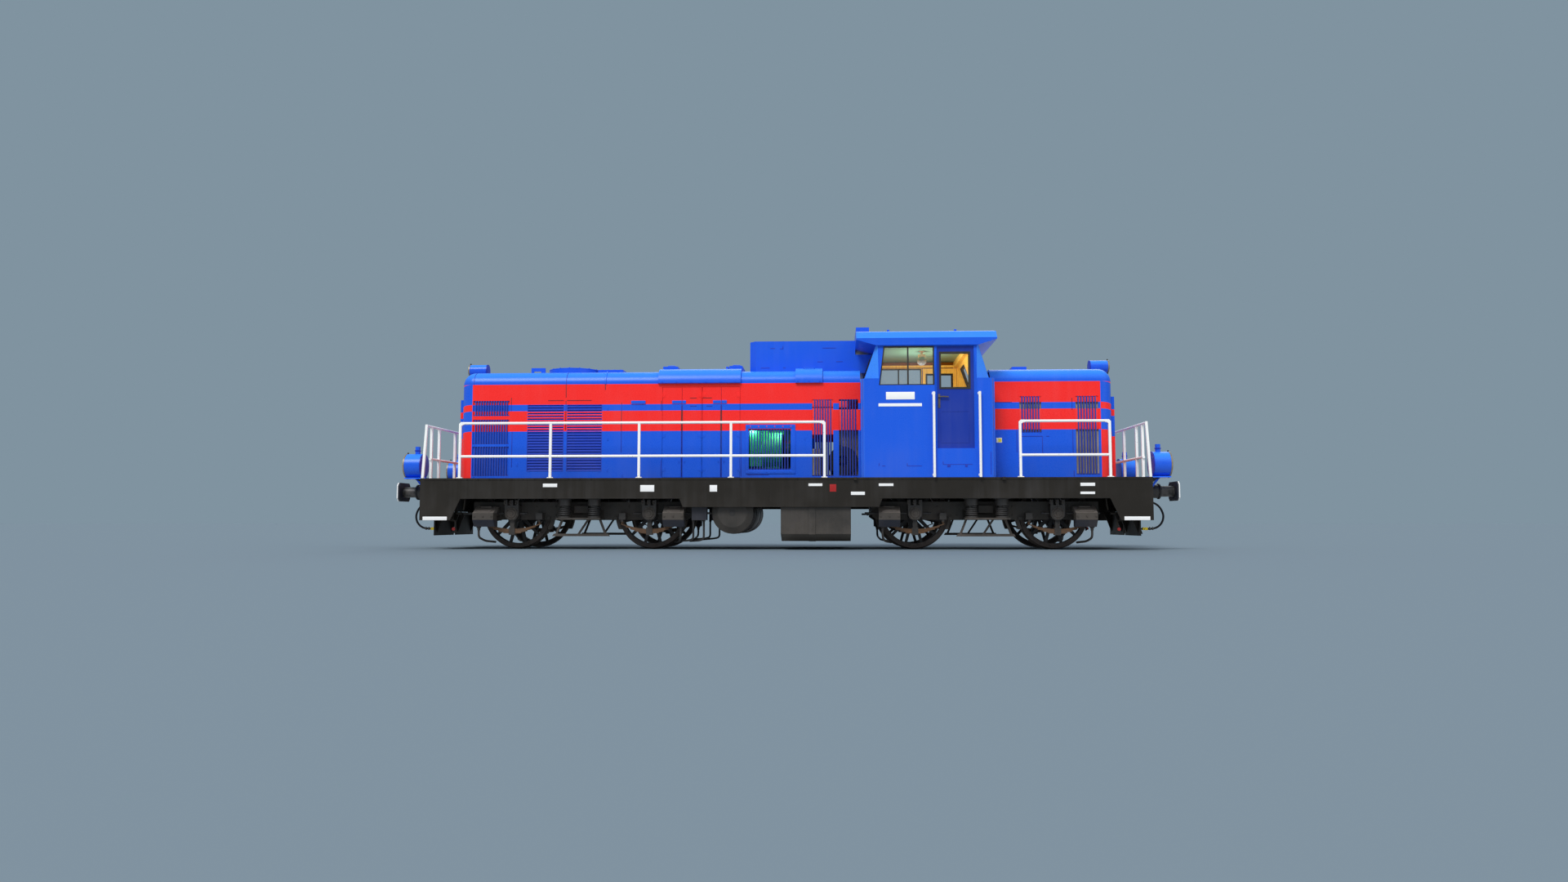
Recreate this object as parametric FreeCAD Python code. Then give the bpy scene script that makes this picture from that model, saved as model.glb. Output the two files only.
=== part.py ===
import FreeCAD, Part
import math
import os
from FreeCAD import Vector as V

# Four-axle diesel locomotive with one cab and two engine hoods. Millimetres. Origin: middle of the length and
# width, at the lowest point of the wheel flanges. +X points to the short-hood end (rear), -X to the long-hood
# end (front), -Y is the left-hand side when facing the front, +Z is up.

# ---- driving dimensions -----------------------------------------------------------------------------------
HALF_LENGTH = 7120.0        # buffer face from the middle
HALF_FRAME = 6540.0         # outer face of a buffer beam from the middle
HALF_WIDTH = 1500.0         # side plates and cab sides

WHEEL_R = 625.0             # tread radius
FLANGE = 28.0               # flange height above the tread
WHEEL_BACK = 680.0          # inner face of a wheel from the middle
WHEEL_WIDTH = 135.0
RIM_BORE_R = 545.0
HUB_R = 125.0
SPOKES = 12
HUB_PROUD = 12.0            # the hub stands out this far on both faces
SPOKE_ROOT_W = 68.0
SPOKE_TIP_W = 48.0
SPOKE_T = 48.0
SPOKE_SET = 40.0            # from the inner face of the wheel to a spoke
SPOKE_SUNK = 8.0            # a spoke runs this far into the hub and the rim
AXLE_R = 85.0
JOURNAL_R = 62.0
JOURNAL_END = 1150.0
RUNNING_GAP = 0.1           # radial clearance of a journal in its axlebox
SEAT_GAP = 0.3              # clearance between faces of two bodies that seat on each other

PIVOT_X = 3675.0            # bogie pivot from the middle
HALF_WHEELBASE = 1267.5
BOGIE_HALF = 2030.0
FRAME_PLATE_IN = 950.0      # inner face of a bogie side plate
FRAME_PLATE_T = 60.0
FRAME_LOW = 538.0
FRAME_TOP = 865.0
CENTRE_PLATE_TOP = 905.0
CENTRE_PLATE_R = 260.0
KING_PIN_R = 80.0
SPRING_X = 270.0            # coil springs from the bogie pivot
SPRING_Y = 1250.0
SPRING_CUP_R = 128.0

DECK_TOP = 1288.0
DECK_T = 40.0
SIDE_PLATE_T = 30.0
SKIRT_LOW = 913.0           # lower edge of the side plates over the bogies
SKIRT_MID_LOW = 761.0       # and between them
SKIRT_MID_HALF = 1750.0
STEP_X = (5800.0, 5980.0)   # the lower edge drops to the step plates between these
TREAD_X = 6030.0            # inner end of the step treads
TREAD_T = 30.0
TREADS = (528.0, 790.0)     # undersides of the two treads
STEP_LOW = 528.0            # lower edge of the corner step plates
BEAM_T = 62.0
BEAM_LOW = 700.0

BUFFER_Y = 875.0
BUFFER_Z = 1050.0
BUFFER_HEAD_W = 520.0
BUFFER_HEAD_H = 345.0
BUFFER_HEAD_T = 45.0
BUFFER_HEAD_CUT = 55.0      # chamfer of the head's corners
BUFFER_FLANGE = (190.0, 150.0, 25.0)    # half width, half height, thickness
SLEEVE_R = 123.0
SLEEVE_END = 290.0          # from the beam to the end of the sleeve
PLUNGER_R = 98.0

HOOK_T = 56.0
HOOK_LOW = 1010.0
HOOK_H = 90.0

HOSE_Y = 400.0
HOSE_D = 38.0

HOOD_HALF = 950.0
HOOD_T = 40.0
HOOD_END = 6040.0
HOOD_SHOULDER = 3058.0      # top of the side panels
HOOD_RISE = 250.0           # from there to the roof
HOOD_EDGE_R = 240.0         # round roof edges and end corners
COVER_T = 50.0              # covers that lie over the round roof edges
RIB_T = 14.0                # joint ribs over the roof

CAB_X0 = 1440.0
CAB_X1 = 3820.0
CAB_CHAMFER = 65.0
CAB_WALL_IN = HALF_WIDTH - 100      # inner face of a cab side
CAB_END_T = 90.0            # lower end walls
UPPER_END_T = 60.0          # sloping end walls above the waist
CAB_FLOOR = 1778.0
CAB_FLOOR_T = 60.0
WAIST = 3058.0
EAVES = 3658.0
FASCIA_TOP = 3788.0
CROWN = 4078.0
ROOF_X0 = 1363.0
ROOF_X1 = 3871.0
LEAN = 50.0                 # the upper cab sides lean in by this much
UPPER_END_IN = 60.0         # step in of the upper end walls at the waist
UPPER_END_LEAN = 210.0      # and how far they slope in up to the eaves
FACET_LOW = 260.0           # corner facet at the waist
FACET_TOP = 40.0            # and at the eaves
ROOM_FACET_LOW = 150.0      # the same facet inside the cab
ROOM_FACET_TOP = 5.0

CAB_DOOR = (2800.0, 3455.0, 1802.0, 3640.0)     # clear opening x0, x1, z0, z1
CAB_DOOR_LAP = 20.0         # the leaf laps behind its frame
CAB_DOOR_T = 45.0
DOOR_LIP_Y = HALF_WIDTH - 60        # the leaf closes against this plane
DOOR_EDGE_GAP = 6.0

ENGINE_DOOR_Z = (1318.0, 2990.0)
ENGINE_DOOR_T = 25.0
ENGINE_DOOR_STOP = 18.0     # width of the rebate that a leaf closes against
ENGINE_BAYS = ((-2229.0, -1482.0), (-1482.0, -768.0))
HINGE_PIER = 12.0           # from the line between two bays to a leaf
LEAF_GAP = 6.0              # between the two leaves of a bay

RAIL_R = 24.0
RAIL_Y = HALF_WIDTH - 50
RAIL_TOP = 2286.0
RAIL_MID = 1683.0
POST = 44.0
END_RAIL_X = 6460.0
END_RAIL_TOP = 2245.0
END_RAIL_MID = 1650.0
GRAB_OUT = 60.0             # grab rails at the cab doors stand this far off its sides

os.makedirs("parts", exist_ok=True)
Y_AXIS = V(0, 1, 0)
AXLE_Z = WHEEL_R + FLANGE
ROOF_TOP = HOOD_SHOULDER + HOOD_RISE
CAB_MID = (CAB_X0 + CAB_X1) / 2


# ---- small makers -----------------------------------------------------------------------------------------
def box(x0, x1, y0, y1, z0, z1):
    return Part.makeBox(x1 - x0, y1 - y0, z1 - z0, V(x0, y0, z0))


def rod(start, end, radius):
    a, b = V(*start), V(*end)
    return Part.makeCylinder(radius, (b - a).Length, a, b - a)


def wire_of(points):
    return Part.makePolygon([V(*p) for p in points] + [V(*points[0])])


def plate_xz(outline, y0, y1):
    """A plate standing lengthwise: its outline in x, z and its two faces at y0 and y1."""
    face = Part.Face(wire_of([(x, y0, z) for x, z in outline]))
    return face.extrude(V(0, y1 - y0, 0))


def plate_yz(outline, x0, x1):
    face = Part.Face(wire_of([(x0, y, z) for y, z in outline]))
    return face.extrude(V(x1 - x0, 0, 0))


def plate_xy(outline, z0, z1):
    face = Part.Face(wire_of([(x, y, z0) for x, y in outline]))
    return face.extrude(V(0, 0, z1 - z0))


def frustum(low, z_low, high, z_high):
    """A solid between two like outlines at two heights; its sides are flat where their edges are parallel."""
    bottom, top = [V(x, y, z_low) for x, y in low], [V(x, y, z_high) for x, y in high]
    faces = [Part.Face(Part.makePolygon(ring + [ring[0]])) for ring in (bottom, top)]
    for index in range(len(low)):
        after = (index + 1) % len(low)
        ring = [bottom[index], bottom[after], top[after], top[index], bottom[index]]
        faces.append(Part.Face(Part.makePolygon(ring)))
    solid = Part.makeSolid(Part.makeShell(faces))
    return solid if solid.Volume > 0 else solid.reversed()


def fused(shapes):
    return shapes[0].fuse(shapes[1:]).removeSplitter() if len(shapes) > 1 else shapes[0]


def mirror_y(shape):
    return shape.mirror(V(0, 0, 0), V(0, 1, 0))


def mirror_x(shape):
    return shape.mirror(V(0, 0, 0), V(1, 0, 0))


def both_sides(shapes):
    return shapes + [mirror_y(s) for s in shapes]


def both_ends(shapes):
    return shapes + [mirror_x(s) for s in shapes]


def moved(shapes, x=0.0, y=0.0, z=0.0):
    return [s.translated(V(x, y, z)) for s in shapes]


def save(node, shapes):
    solids = [s for shape in shapes for s in shape.Solids]
    body = solids[0] if len(solids) == 1 else Part.makeCompound(solids)
    body.exportStep(f"parts/{node}.step")


# ---- wheelsets: two spoked wheels pressed on one axle -----------------------------------------------------
def wheel():
    back, front = WHEEL_BACK, WHEEL_BACK + WHEEL_WIDTH
    flange_edge = back + FLANGE
    # radius, distance from the middle of the axle
    profile = ((RIM_BORE_R, back), (WHEEL_R + FLANGE, back), (WHEEL_R, flange_edge), (WHEEL_R, front),
               (RIM_BORE_R, front))
    rim = Part.Face(wire_of([(r, y, 0) for r, y in profile])).revolve(V(0, 0, 0), Y_AXIS, 360)
    hub = rod((0, back - HUB_PROUD, 0), (0, front + HUB_PROUD, 0), HUB_R)
    half_root, half_tip = SPOKE_ROOT_W / 2, SPOKE_TIP_W / 2
    root, tip = HUB_R - SPOKE_SUNK, RIM_BORE_R + SPOKE_SUNK
    spoke = plate_xz(((root, -half_root), (tip, -half_tip), (tip, half_tip), (root, half_root)),
                     back + SPOKE_SET, back + SPOKE_SET + SPOKE_T)
    spokes = []
    for index in range(SPOKES):
        turned = spoke.copy()
        turned.rotate(V(0, 0, 0), Y_AXIS, (index + 0.5) * 360 / SPOKES)
        spokes.append(turned)
    return fused([rim, hub] + spokes)


def wheelset():
    near = wheel()
    axle = rod((0, -WHEEL_BACK, 0), (0, WHEEL_BACK, 0), AXLE_R)
    journals = rod((0, -JOURNAL_END, 0), (0, JOURNAL_END, 0), JOURNAL_R)
    return fused([near, mirror_y(near), axle, journals]).translated(V(0, 0, AXLE_Z))


# ---- bogies -----------------------------------------------------------------------------------------------
AXLEBOX_R = 128.0
AXLEBOX_OUT = 1200.0
AXLEBOX_TOP = 800.0
SLOT_ABOVE = 15.0           # headroom over an axlebox in its slot
PLATE_CORNER = (90.0, 60.0)     # cut from the lower corners of a side plate
BRAKE_SPACE = 262.5         # from a wheel's tread to the bolster, for the brake blocks
BOLSTER_HALF = HALF_WHEELBASE - WHEEL_R - BRAKE_SPACE
BOLSTER_LOW = 600.0
END_BEAM_T = 60.0
END_BEAM_LOW = 640.0
BRACKET_T = 34.0            # shelf that the coil springs stand on
BRACKET_HALF = 130.0        # its length on each side of a spring
GUIDE_GAP = 0.5
GUIDE_BAR_W = 48.0
GUIDE_BAR_TOP = 895.0
HANGER_TOP = 600.0
SANDBOX_SET = 105.0         # from the end of the bogie frame to a sand hopper
SANDBOX_LEN = 380.0
SPRING_PLANE = 1110.0       # middle of the leaf springs
SPRING_EYE = 500.0          # from an axle to the hangers of its leaf spring
HANGER_HALF = 60.0          # half length of a hanger's block on the inner side of an axle
BOSS_LEN = 60.0
BOSS_SET = 50.5             # from a boss to the hanger beside it
BOSS_END = HALF_WHEELBASE - SPRING_EYE - HANGER_HALF - BOSS_SET
CUP_GAP = (600.0, 790.0)    # the coil springs stand between these heights
COIL_GUIDE_R = 72.0
PLATE_OUT = FRAME_PLATE_IN + FRAME_PLATE_T


# blocks on the outside of a side plate: x, reach in y, z; one in the middle, the other on both sides of it
FRAME_BOSSES = (((-130.0, 130.0), 1130.0, (660.0, 790.0)),
                ((BOSS_END - BOSS_LEN, BOSS_END), 1040.0, (FRAME_LOW, FRAME_LOW + 55.0)))


def bogie_frame():
    """Two side plates with slots for the axleboxes, a bolster between them, end beams, spring brackets."""
    slot = AXLEBOX_R + GUIDE_GAP
    slot_top = AXLEBOX_TOP + SLOT_ABOVE
    along, up = PLATE_CORNER
    outline = [(-BOGIE_HALF, FRAME_LOW + up), (-BOGIE_HALF + along, FRAME_LOW)]
    for axle in (-HALF_WHEELBASE, HALF_WHEELBASE):
        outline += [(axle - slot, FRAME_LOW), (axle - slot, slot_top), (axle + slot, slot_top),
                    (axle + slot, FRAME_LOW)]
    outline += [(BOGIE_HALF - along, FRAME_LOW), (BOGIE_HALF, FRAME_LOW + up), (BOGIE_HALF, FRAME_TOP),
                (-BOGIE_HALF, FRAME_TOP)]
    side = plate_xz(outline, FRAME_PLATE_IN, PLATE_OUT)
    bolster = box(-BOLSTER_HALF, BOLSTER_HALF, -FRAME_PLATE_IN, FRAME_PLATE_IN, BOLSTER_LOW, FRAME_TOP)
    centre = rod((0, 0, FRAME_TOP), (0, 0, CENTRE_PLATE_TOP), CENTRE_PLATE_R)
    pin_hole = rod((0, 0, BOLSTER_LOW), (0, 0, CENTRE_PLATE_TOP), KING_PIN_R + 1)
    ends = [box(x, x + END_BEAM_T, -FRAME_PLATE_IN, FRAME_PLATE_IN, END_BEAM_LOW, FRAME_TOP)
            for x in (-BOGIE_HALF, BOGIE_HALF - END_BEAM_T)]
    shelf_end, shelf_top = SPRING_Y + SPRING_CUP_R, FRAME_LOW + BRACKET_T
    bracket = plate_yz(((PLATE_OUT, FRAME_LOW), (shelf_end, FRAME_LOW), (shelf_end, shelf_top),
                        (PLATE_OUT + 60, shelf_top), (PLATE_OUT, FRAME_LOW + 180)),
                       -SPRING_X - BRACKET_HALF, SPRING_X + BRACKET_HALF)
    bosses = [box(*edges, PLATE_OUT, reach, *height) for edges, reach, height in FRAME_BOSSES]
    bosses += [mirror_x(boss) for boss in bosses[1:]]
    plates = [side, mirror_y(side), bolster, centre, bracket, mirror_y(bracket)]
    body = fused(plates + ends + both_sides(bosses))
    return [body.cut(pin_hole)] + both_sides(sandboxes())


def sandboxes():
    """A sand hopper at each end of a side: sloped lid and sloped bottom."""
    lid_in, lid_out, outlet_out = 1180.0, 1400.0, 1300.0
    top, lid_low, outlet = 778.0, 658.0, 411.0
    outline = ((PLATE_OUT, top), (lid_in, top), (lid_out, lid_low), (lid_out, FRAME_LOW),
               (outlet_out, outlet), (lid_in, outlet), (lid_in, HANGER_TOP), (PLATE_OUT, HANGER_TOP))
    hopper = plate_yz(outline, SANDBOX_SET - BOGIE_HALF, SANDBOX_SET + SANDBOX_LEN - BOGIE_HALF)
    return both_ends([hopper])


def leaf_spring(axle):
    """A stack of five leaves under the axlebox, bent up at the ends, in a buckle."""
    leaf, width = 17.0, 90.0
    top_mid, rise, half = 372.0, 100.0, 520.0
    y0 = SPRING_PLANE - width / 2
    radius = (half * half + rise * rise) / (2 * rise)
    centre_z = top_mid + radius

    def at(reach, depth):
        angle = math.asin(reach / radius)
        arm = radius + depth
        return V(axle + arm * math.sin(angle), y0, centre_z - arm * math.cos(angle))

    # half length of each leaf, from the longest at the top
    leaves = (520.0, 430.0, 340.0, 250.0, 160.0)
    left, right = [], []
    for index, reach in enumerate(leaves):
        for side, row in ((-1, left), (1, right)):
            row.append((at(side * reach, index * leaf), at(side * reach, (index + 1) * leaf)))
    edges = [Part.Arc(left[0][0], at(0, 0), right[0][0]).toShape()]
    for index, (upper, lower) in enumerate(right):
        edges.append(Part.makeLine(upper, lower))
        if index + 1 < len(leaves):
            inner = right[index + 1][0]
            middle = at((leaves[index] + leaves[index + 1]) / 2, (index + 1) * leaf)
            edges.append(Part.Arc(lower, middle, inner).toShape())
    edges.append(Part.Arc(right[-1][1], at(0, len(leaves) * leaf), left[-1][1]).toShape())
    for index in range(len(leaves) - 1, -1, -1):
        upper, lower = left[index]
        edges.append(Part.makeLine(lower, upper))
        if index:
            middle = at(-(leaves[index] + leaves[index - 1]) / 2, index * leaf)
            edges.append(Part.Arc(upper, middle, left[index - 1][1]).toShape())
    stack = Part.Face(Part.Wire(edges)).extrude(V(0, width, 0))
    buckle_half, strap, buckle_low, buckle_top = 55.0, 14.0, 262.0, 400.0
    buckle = box(axle - buckle_half, axle + buckle_half, y0 - strap, y0 + width + strap,
                 buckle_low, buckle_top)
    saddle = box(axle - 40, axle + 40, y0, y0 + width, buckle_top - 10, AXLE_Z - AXLEBOX_R + 12)
    return fused([stack, buckle, saddle])


def spring_hanger(x, half, top):
    """The block on the frame and the link that carry one end of a leaf spring."""
    link_half, link_low, link_top = 14.0, 470.0, 560.0
    return fused([box(x - half, x + half, PLATE_OUT, SPRING_PLANE + 55, FRAME_LOW, top),
                  box(x - link_half, x + link_half, SPRING_PLANE - 25, SPRING_PLANE + 25,
                      link_low, link_top)])


def axlebox(axle):
    inner = PLATE_OUT - 45
    barrel = rod((axle, inner, AXLE_Z), (axle, AXLEBOX_OUT, AXLE_Z), AXLEBOX_R)
    head = box(axle - AXLEBOX_R, axle + AXLEBOX_R, inner, AXLEBOX_OUT, AXLE_Z, AXLEBOX_TOP)
    bore = rod((axle, inner - 15, AXLE_Z), (axle, JOURNAL_END + 5, AXLE_Z), JOURNAL_R + RUNNING_GAP)
    bars = [box(x, x + GUIDE_BAR_W, AXLEBOX_OUT - 50, AXLEBOX_OUT, AXLEBOX_TOP, GUIDE_BAR_TOP)
            for x in (axle - AXLEBOX_R, axle - GUIDE_BAR_W / 2, axle + AXLEBOX_R - GUIDE_BAR_W)]
    return fused([barrel, head, leaf_spring(axle)] + bars).cut(bore)


def bogie_springs():
    solids = []
    for axle in (-HALF_WHEELBASE, HALF_WHEELBASE):
        solids.append(axlebox(axle))
        for x in (axle - SPRING_EYE, axle + SPRING_EYE):
            under_hopper = abs(x) > HALF_WHEELBASE
            half, top = (32, HANGER_TOP) if under_hopper else (HANGER_HALF, HANGER_TOP + 60)
            solids.append(spring_hanger(x, half, top))
    heights = (FRAME_LOW + BRACKET_T,) + CUP_GAP + (CENTRE_PLATE_TOP,)
    radii = (SPRING_CUP_R - 12, COIL_GUIDE_R, SPRING_CUP_R - 12)
    for x in (-SPRING_X, SPRING_X):
        solids.append(fused([rod((x, SPRING_Y, low), (x, SPRING_Y, high), radius)
                             for low, high, radius in zip(heights, heights[1:], radii)]))
    return both_sides(solids)


def bogie_brakes():
    """Brake blocks against the treads, their hangers, and the pull rod low on each side."""
    solids = []
    shoe_gap, shoe_t, hanger_t, hanger_y = 8.0, 60.0, 35.0, (740.0, 780.0)
    inner, hang_top = WHEEL_R + shoe_gap, FRAME_TOP - 40
    face, beyond = WHEEL_BACK + WHEEL_WIDTH, WHEEL_BACK + 200
    for axle, side in ((-HALF_WHEELBASE, 1), (HALF_WHEELBASE, -1)):
        ring = rod((axle, WHEEL_BACK + FLANGE + 8, AXLE_Z), (axle, face, AXLE_Z), inner + shoe_t)
        hollow = rod((axle, WHEEL_BACK, AXLE_Z), (axle, beyond, AXLE_Z), inner)
        reach = sorted((axle + side * (inner - 60), axle + side * (inner + shoe_t + 5)))
        window = box(*reach, WHEEL_BACK, beyond, AXLE_Z - 290, AXLE_Z - 40)
        shoe = ring.cut(hollow).common(window)
        x = axle + side * (inner + 20)
        edges = sorted((x, x + side * hanger_t))
        hanger = box(*edges, *hanger_y, AXLE_Z - 90, hang_top)
        arm = box(*edges, hanger_y[1], FRAME_PLATE_IN, hang_top - 50, hang_top)
        solids.append(fused([shoe, hanger, arm]))
    rod_low, rod_top, rod_half, rod_y = 238.0, 284.0, 530.0, (1085.0, 1125.0)
    pull = plate_xz(((-rod_half, rod_low), (rod_half, rod_low), (rod_half - 30, rod_top),
                     (30 - rod_half, rod_top)), *rod_y)
    # foot and head of each strut between the pull rod and the frame
    struts = [plate_xz(((foot, rod_top), (foot + 40, rod_top), (head + 40, FRAME_LOW), (head, FRAME_LOW)),
                       *rod_y) for foot, head in ((-470, -370), (-60, 110), (430, 330))]
    solids.append(fused([pull] + struts))
    return both_sides(solids)


BOGIES = (("front", -PIVOT_X), ("rear", PIVOT_X))
for index, (end, pivot) in enumerate(BOGIES):
    save(f"bogie_frame_{end}", moved(bogie_frame(), x=pivot))
    save(f"bogie_springs_{end}", moved(bogie_springs(), x=pivot))
    save(f"bogie_brakes_{end}", moved(bogie_brakes(), x=pivot))
    for number, axle in enumerate((-HALF_WHEELBASE, HALF_WHEELBASE)):
        save(f"wheelset_{2 * index + number + 1}", moved([wheelset()], x=pivot + axle))


# ---- underframe -------------------------------------------------------------------------------------------
WELL_HALF = 700.0
WELL_IN = 560.0
WELL_ROOM = 95.0            # from a wheel's outer face to the edge of its well
STEP_IN = HALF_WIDTH - 320
SPRING_PAD_HALF = 140.0
SILL_IN = 330.0
SILL_OUT = 450.0
SILL_LOW = 1060.0
KING_PIN_LOW = 720.0


def wheel_wells():
    """Openings in the deck above each wheel, hidden by the hoods and the cab floor."""
    wells = []
    edge = WHEEL_BACK + WHEEL_WIDTH + WELL_ROOM
    for pivot in (-PIVOT_X, PIVOT_X):
        for axle in (-HALF_WHEELBASE, HALF_WHEELBASE):
            x = pivot + axle
            wells.append(box(x - WELL_HALF, x + WELL_HALF, WELL_IN, edge,
                             DECK_TOP - DECK_T - 60, DECK_TOP + 10))
    return both_sides(wells)


def deck():
    inner = HALF_FRAME - BEAM_T
    half = HALF_WIDTH - SIDE_PLATE_T
    return box(-inner, inner, -half, half, DECK_TOP - DECK_T, DECK_TOP).cut(wheel_wells())


def underframe():
    """Long sills, and over each bogie a bolster with centre plate, king pin and a pad on each spring."""
    inner = HALF_FRAME - BEAM_T
    under_deck = DECK_TOP - DECK_T
    seat = CENTRE_PLATE_TOP + SEAT_GAP
    bolster_low = seat + 60
    pieces = both_sides([box(-inner, inner, SILL_IN, SILL_OUT, SILL_LOW, under_deck)])
    for pivot in (-PIVOT_X, PIVOT_X):
        pieces.append(box(pivot - 300, pivot + 300, -SILL_IN, SILL_IN, bolster_low, under_deck))
        pieces.append(fused([rod((pivot, 0, seat), (pivot, 0, bolster_low), CENTRE_PLATE_R),
                             rod((pivot, 0, KING_PIN_LOW), (pivot, 0, bolster_low), KING_PIN_R)]))
        for x in (pivot - SPRING_X, pivot + SPRING_X):
            pieces += both_sides([box(x - SPRING_PAD_HALF, x + SPRING_PAD_HALF, SPRING_Y - SPRING_PAD_HALF,
                                      SPRING_Y + SPRING_PAD_HALF, seat, under_deck)])
    return pieces


def side_plate():
    """The side plate: shallow over the bogies, deeper in the middle, deepest at the corner steps."""
    inner = HALF_FRAME - BEAM_T
    half_outline = ((SKIRT_MID_HALF, SKIRT_MID_LOW), (SKIRT_MID_HALF + 60, SKIRT_LOW),
                    (STEP_X[0], SKIRT_LOW), (STEP_X[1], STEP_LOW), (inner, STEP_LOW), (inner, DECK_TOP))
    outline = list(half_outline) + [(-x, z) for x, z in reversed(half_outline)]
    return plate_xz(outline, HALF_WIDTH - SIDE_PLATE_T, HALF_WIDTH)


def corner_steps():
    """Two treads in each corner between the step plate and the buffer beam, with their inner cheek."""
    inner = HALF_FRAME - BEAM_T
    treads = [box(TREAD_X, inner, STEP_IN, HALF_WIDTH - SIDE_PLATE_T, z, z + TREAD_T) for z in TREADS]
    cheek = box(TREAD_X, inner, STEP_IN - 20, STEP_IN, STEP_LOW, DECK_TOP - DECK_T)
    return treads + [cheek]


steps = corner_steps()
save("deck", [deck()])
save("underframe", underframe())
save("side_plates", both_sides([fused([side_plate()] + steps + [mirror_x(s) for s in steps])]))


# ---- buffer beams, buffers, draw gear, ploughs ------------------------------------------------------------
# brake hose from its cock on the beam to its head in the holder: x, shift in y, z
HOSE_ROUTE = ((6610.0, 0.0, 884.0), (6790.0, 0.0, 884.0), (6954.0, 6.0, 806.0), (7036.0, 11.0, 650.0),
              (7024.0, 12.0, 520.0), (6960.0, 9.0, 427.0), (6857.0, 4.0, 372.0), (6741.0, 4.0, 372.0))
HEAD_LEN = 96.0
SOCKET_LEN = 34.0           # the head's socket that the hose ends in
SOCKET_R = 27.0
COCK_R = 30.0
PLOUGH_X = 6420.0
PLOUGH_T = 24.0
PLOUGH_LOW = 250.0
BLADE_Y = (60.0, 1040.0)    # inner and outer edge of one blade


def brake_cock():
    x, shift, z = HOSE_ROUTE[0]
    lever = box(HALF_FRAME + 22, HALF_FRAME + 52, HOSE_Y - 14, HOSE_Y + 14, z, z + 58)
    return fused([rod((HALF_FRAME, HOSE_Y, z), (x, HOSE_Y, z), COCK_R), lever])


def brake_hose():
    """The tube: straight runs joined by tangent arcs, each as large as its two runs allow."""
    points = [V(x, HOSE_Y + shift, z) for x, shift, z in HOSE_ROUTE]
    pieces, start, length = [], points[0], 0.0
    for before, corner, after in zip(points, points[1:], points[2:]):
        into, out = corner - before, after - corner
        shorter = min(into.Length, out.Length)
        into.normalize()
        out.normalize()
        turn = into.getAngle(out)
        radius = 0.45 * shorter / math.tan(turn / 2)
        first = corner - into * (0.45 * shorter)
        axis = into.cross(out)
        centre = first + axis.cross(into).normalize() * radius
        section = Part.Face(Part.Wire([Part.Circle(first, into, HOSE_D / 2).toShape()]))
        pieces += [Part.makeCylinder(HOSE_D / 2, (first - start).Length, start, into),
                   section.revolve(centre, axis, math.degrees(turn))]
        length += (first - start).Length + turn * radius
        print(f"hose bend radius {radius:.0f} mm")
        start = corner + out * (0.45 * shorter)
    pieces.append(Part.makeCylinder(HOSE_D / 2, (points[-1] - start).Length, start, points[-1] - start))
    length += (points[-1] - start).Length
    tube = fused(pieces)
    print(f"hose length {length:.0f} mm, volume over section times length "
          f"{tube.Volume / (length * math.pi * HOSE_D ** 2 / 4):.4f}")
    return tube


def hose_head():
    """Coupling head on the end of the hose: a socket and a block with its claw."""
    x, shift, z = HOSE_ROUTE[-1]
    y = HOSE_Y + shift
    block = box(x - HEAD_LEN, x - SOCKET_LEN, y - 30, y + 30, z - 24, z + 26)
    claw = box(x - HEAD_LEN + 8, x - 60, y - 44, y - 30, z - 10, z + 14)
    return fused([rod((x - SOCKET_LEN, y, z), (x, y, z), SOCKET_R), block, claw])


def hose_holder():
    """Bracket on the plough plate that the idle head is hung in, with a drip shield below it."""
    x, shift, z = HOSE_ROUTE[-1]
    y = HOSE_Y + shift
    end = x - HEAD_LEN
    arm = box(PLOUGH_X, end, y - 20, y + 20, z - 14, z + 14)
    shield = plate_xz(((end - 110, z - 14), (end - 30, z - 14), (end - 4, z - 95), (end - 130, z - 95)),
                      y - 35, y + 35)
    return fused([arm, shield])


def buffer_beam():
    outline = ((-HALF_WIDTH, STEP_LOW), (-STEP_IN, STEP_LOW), (-STEP_IN, BEAM_LOW), (STEP_IN, BEAM_LOW),
               (STEP_IN, STEP_LOW), (HALF_WIDTH, STEP_LOW), (HALF_WIDTH, DECK_TOP), (-HALF_WIDTH, DECK_TOP))
    beam = plate_yz(outline, HALF_FRAME - BEAM_T, HALF_FRAME)
    hook_slot = box(HALF_FRAME - BEAM_T, HALF_FRAME, -HOOK_T / 2 - SEAT_GAP, HOOK_T / 2 + SEAT_GAP,
                    HOOK_LOW - SEAT_GAP, HOOK_LOW + HOOK_H + SEAT_GAP)
    cock = brake_cock()
    return fused([beam.cut(hook_slot), cock, mirror_y(cock)])


def buffer():
    """Flange, sleeve, plunger and rectangular head with rounded corners."""
    face = HALF_LENGTH
    half_w, half_h, thick = BUFFER_FLANGE
    flange = box(HALF_FRAME, HALF_FRAME + thick, BUFFER_Y - half_w, BUFFER_Y + half_w,
                 BUFFER_Z - half_h, BUFFER_Z + half_h)
    sleeve_end = HALF_FRAME + SLEEVE_END
    sleeve = rod((HALF_FRAME, BUFFER_Y, BUFFER_Z), (sleeve_end, BUFFER_Y, BUFFER_Z), SLEEVE_R)
    plunger = rod((sleeve_end, BUFFER_Y, BUFFER_Z), (face - 30, BUFFER_Y, BUFFER_Z), PLUNGER_R)
    head = box(face - BUFFER_HEAD_T, face, BUFFER_Y - BUFFER_HEAD_W / 2, BUFFER_Y + BUFFER_HEAD_W / 2,
               BUFFER_Z - BUFFER_HEAD_H / 2, BUFFER_Z + BUFFER_HEAD_H / 2)
    corners = [e for e in head.Edges if abs(e.tangentAt(e.FirstParameter).x) > 0.9]
    head = head.makeChamfer(BUFFER_HEAD_CUT, corners)
    return fused([flange, sleeve, plunger, head])


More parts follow.
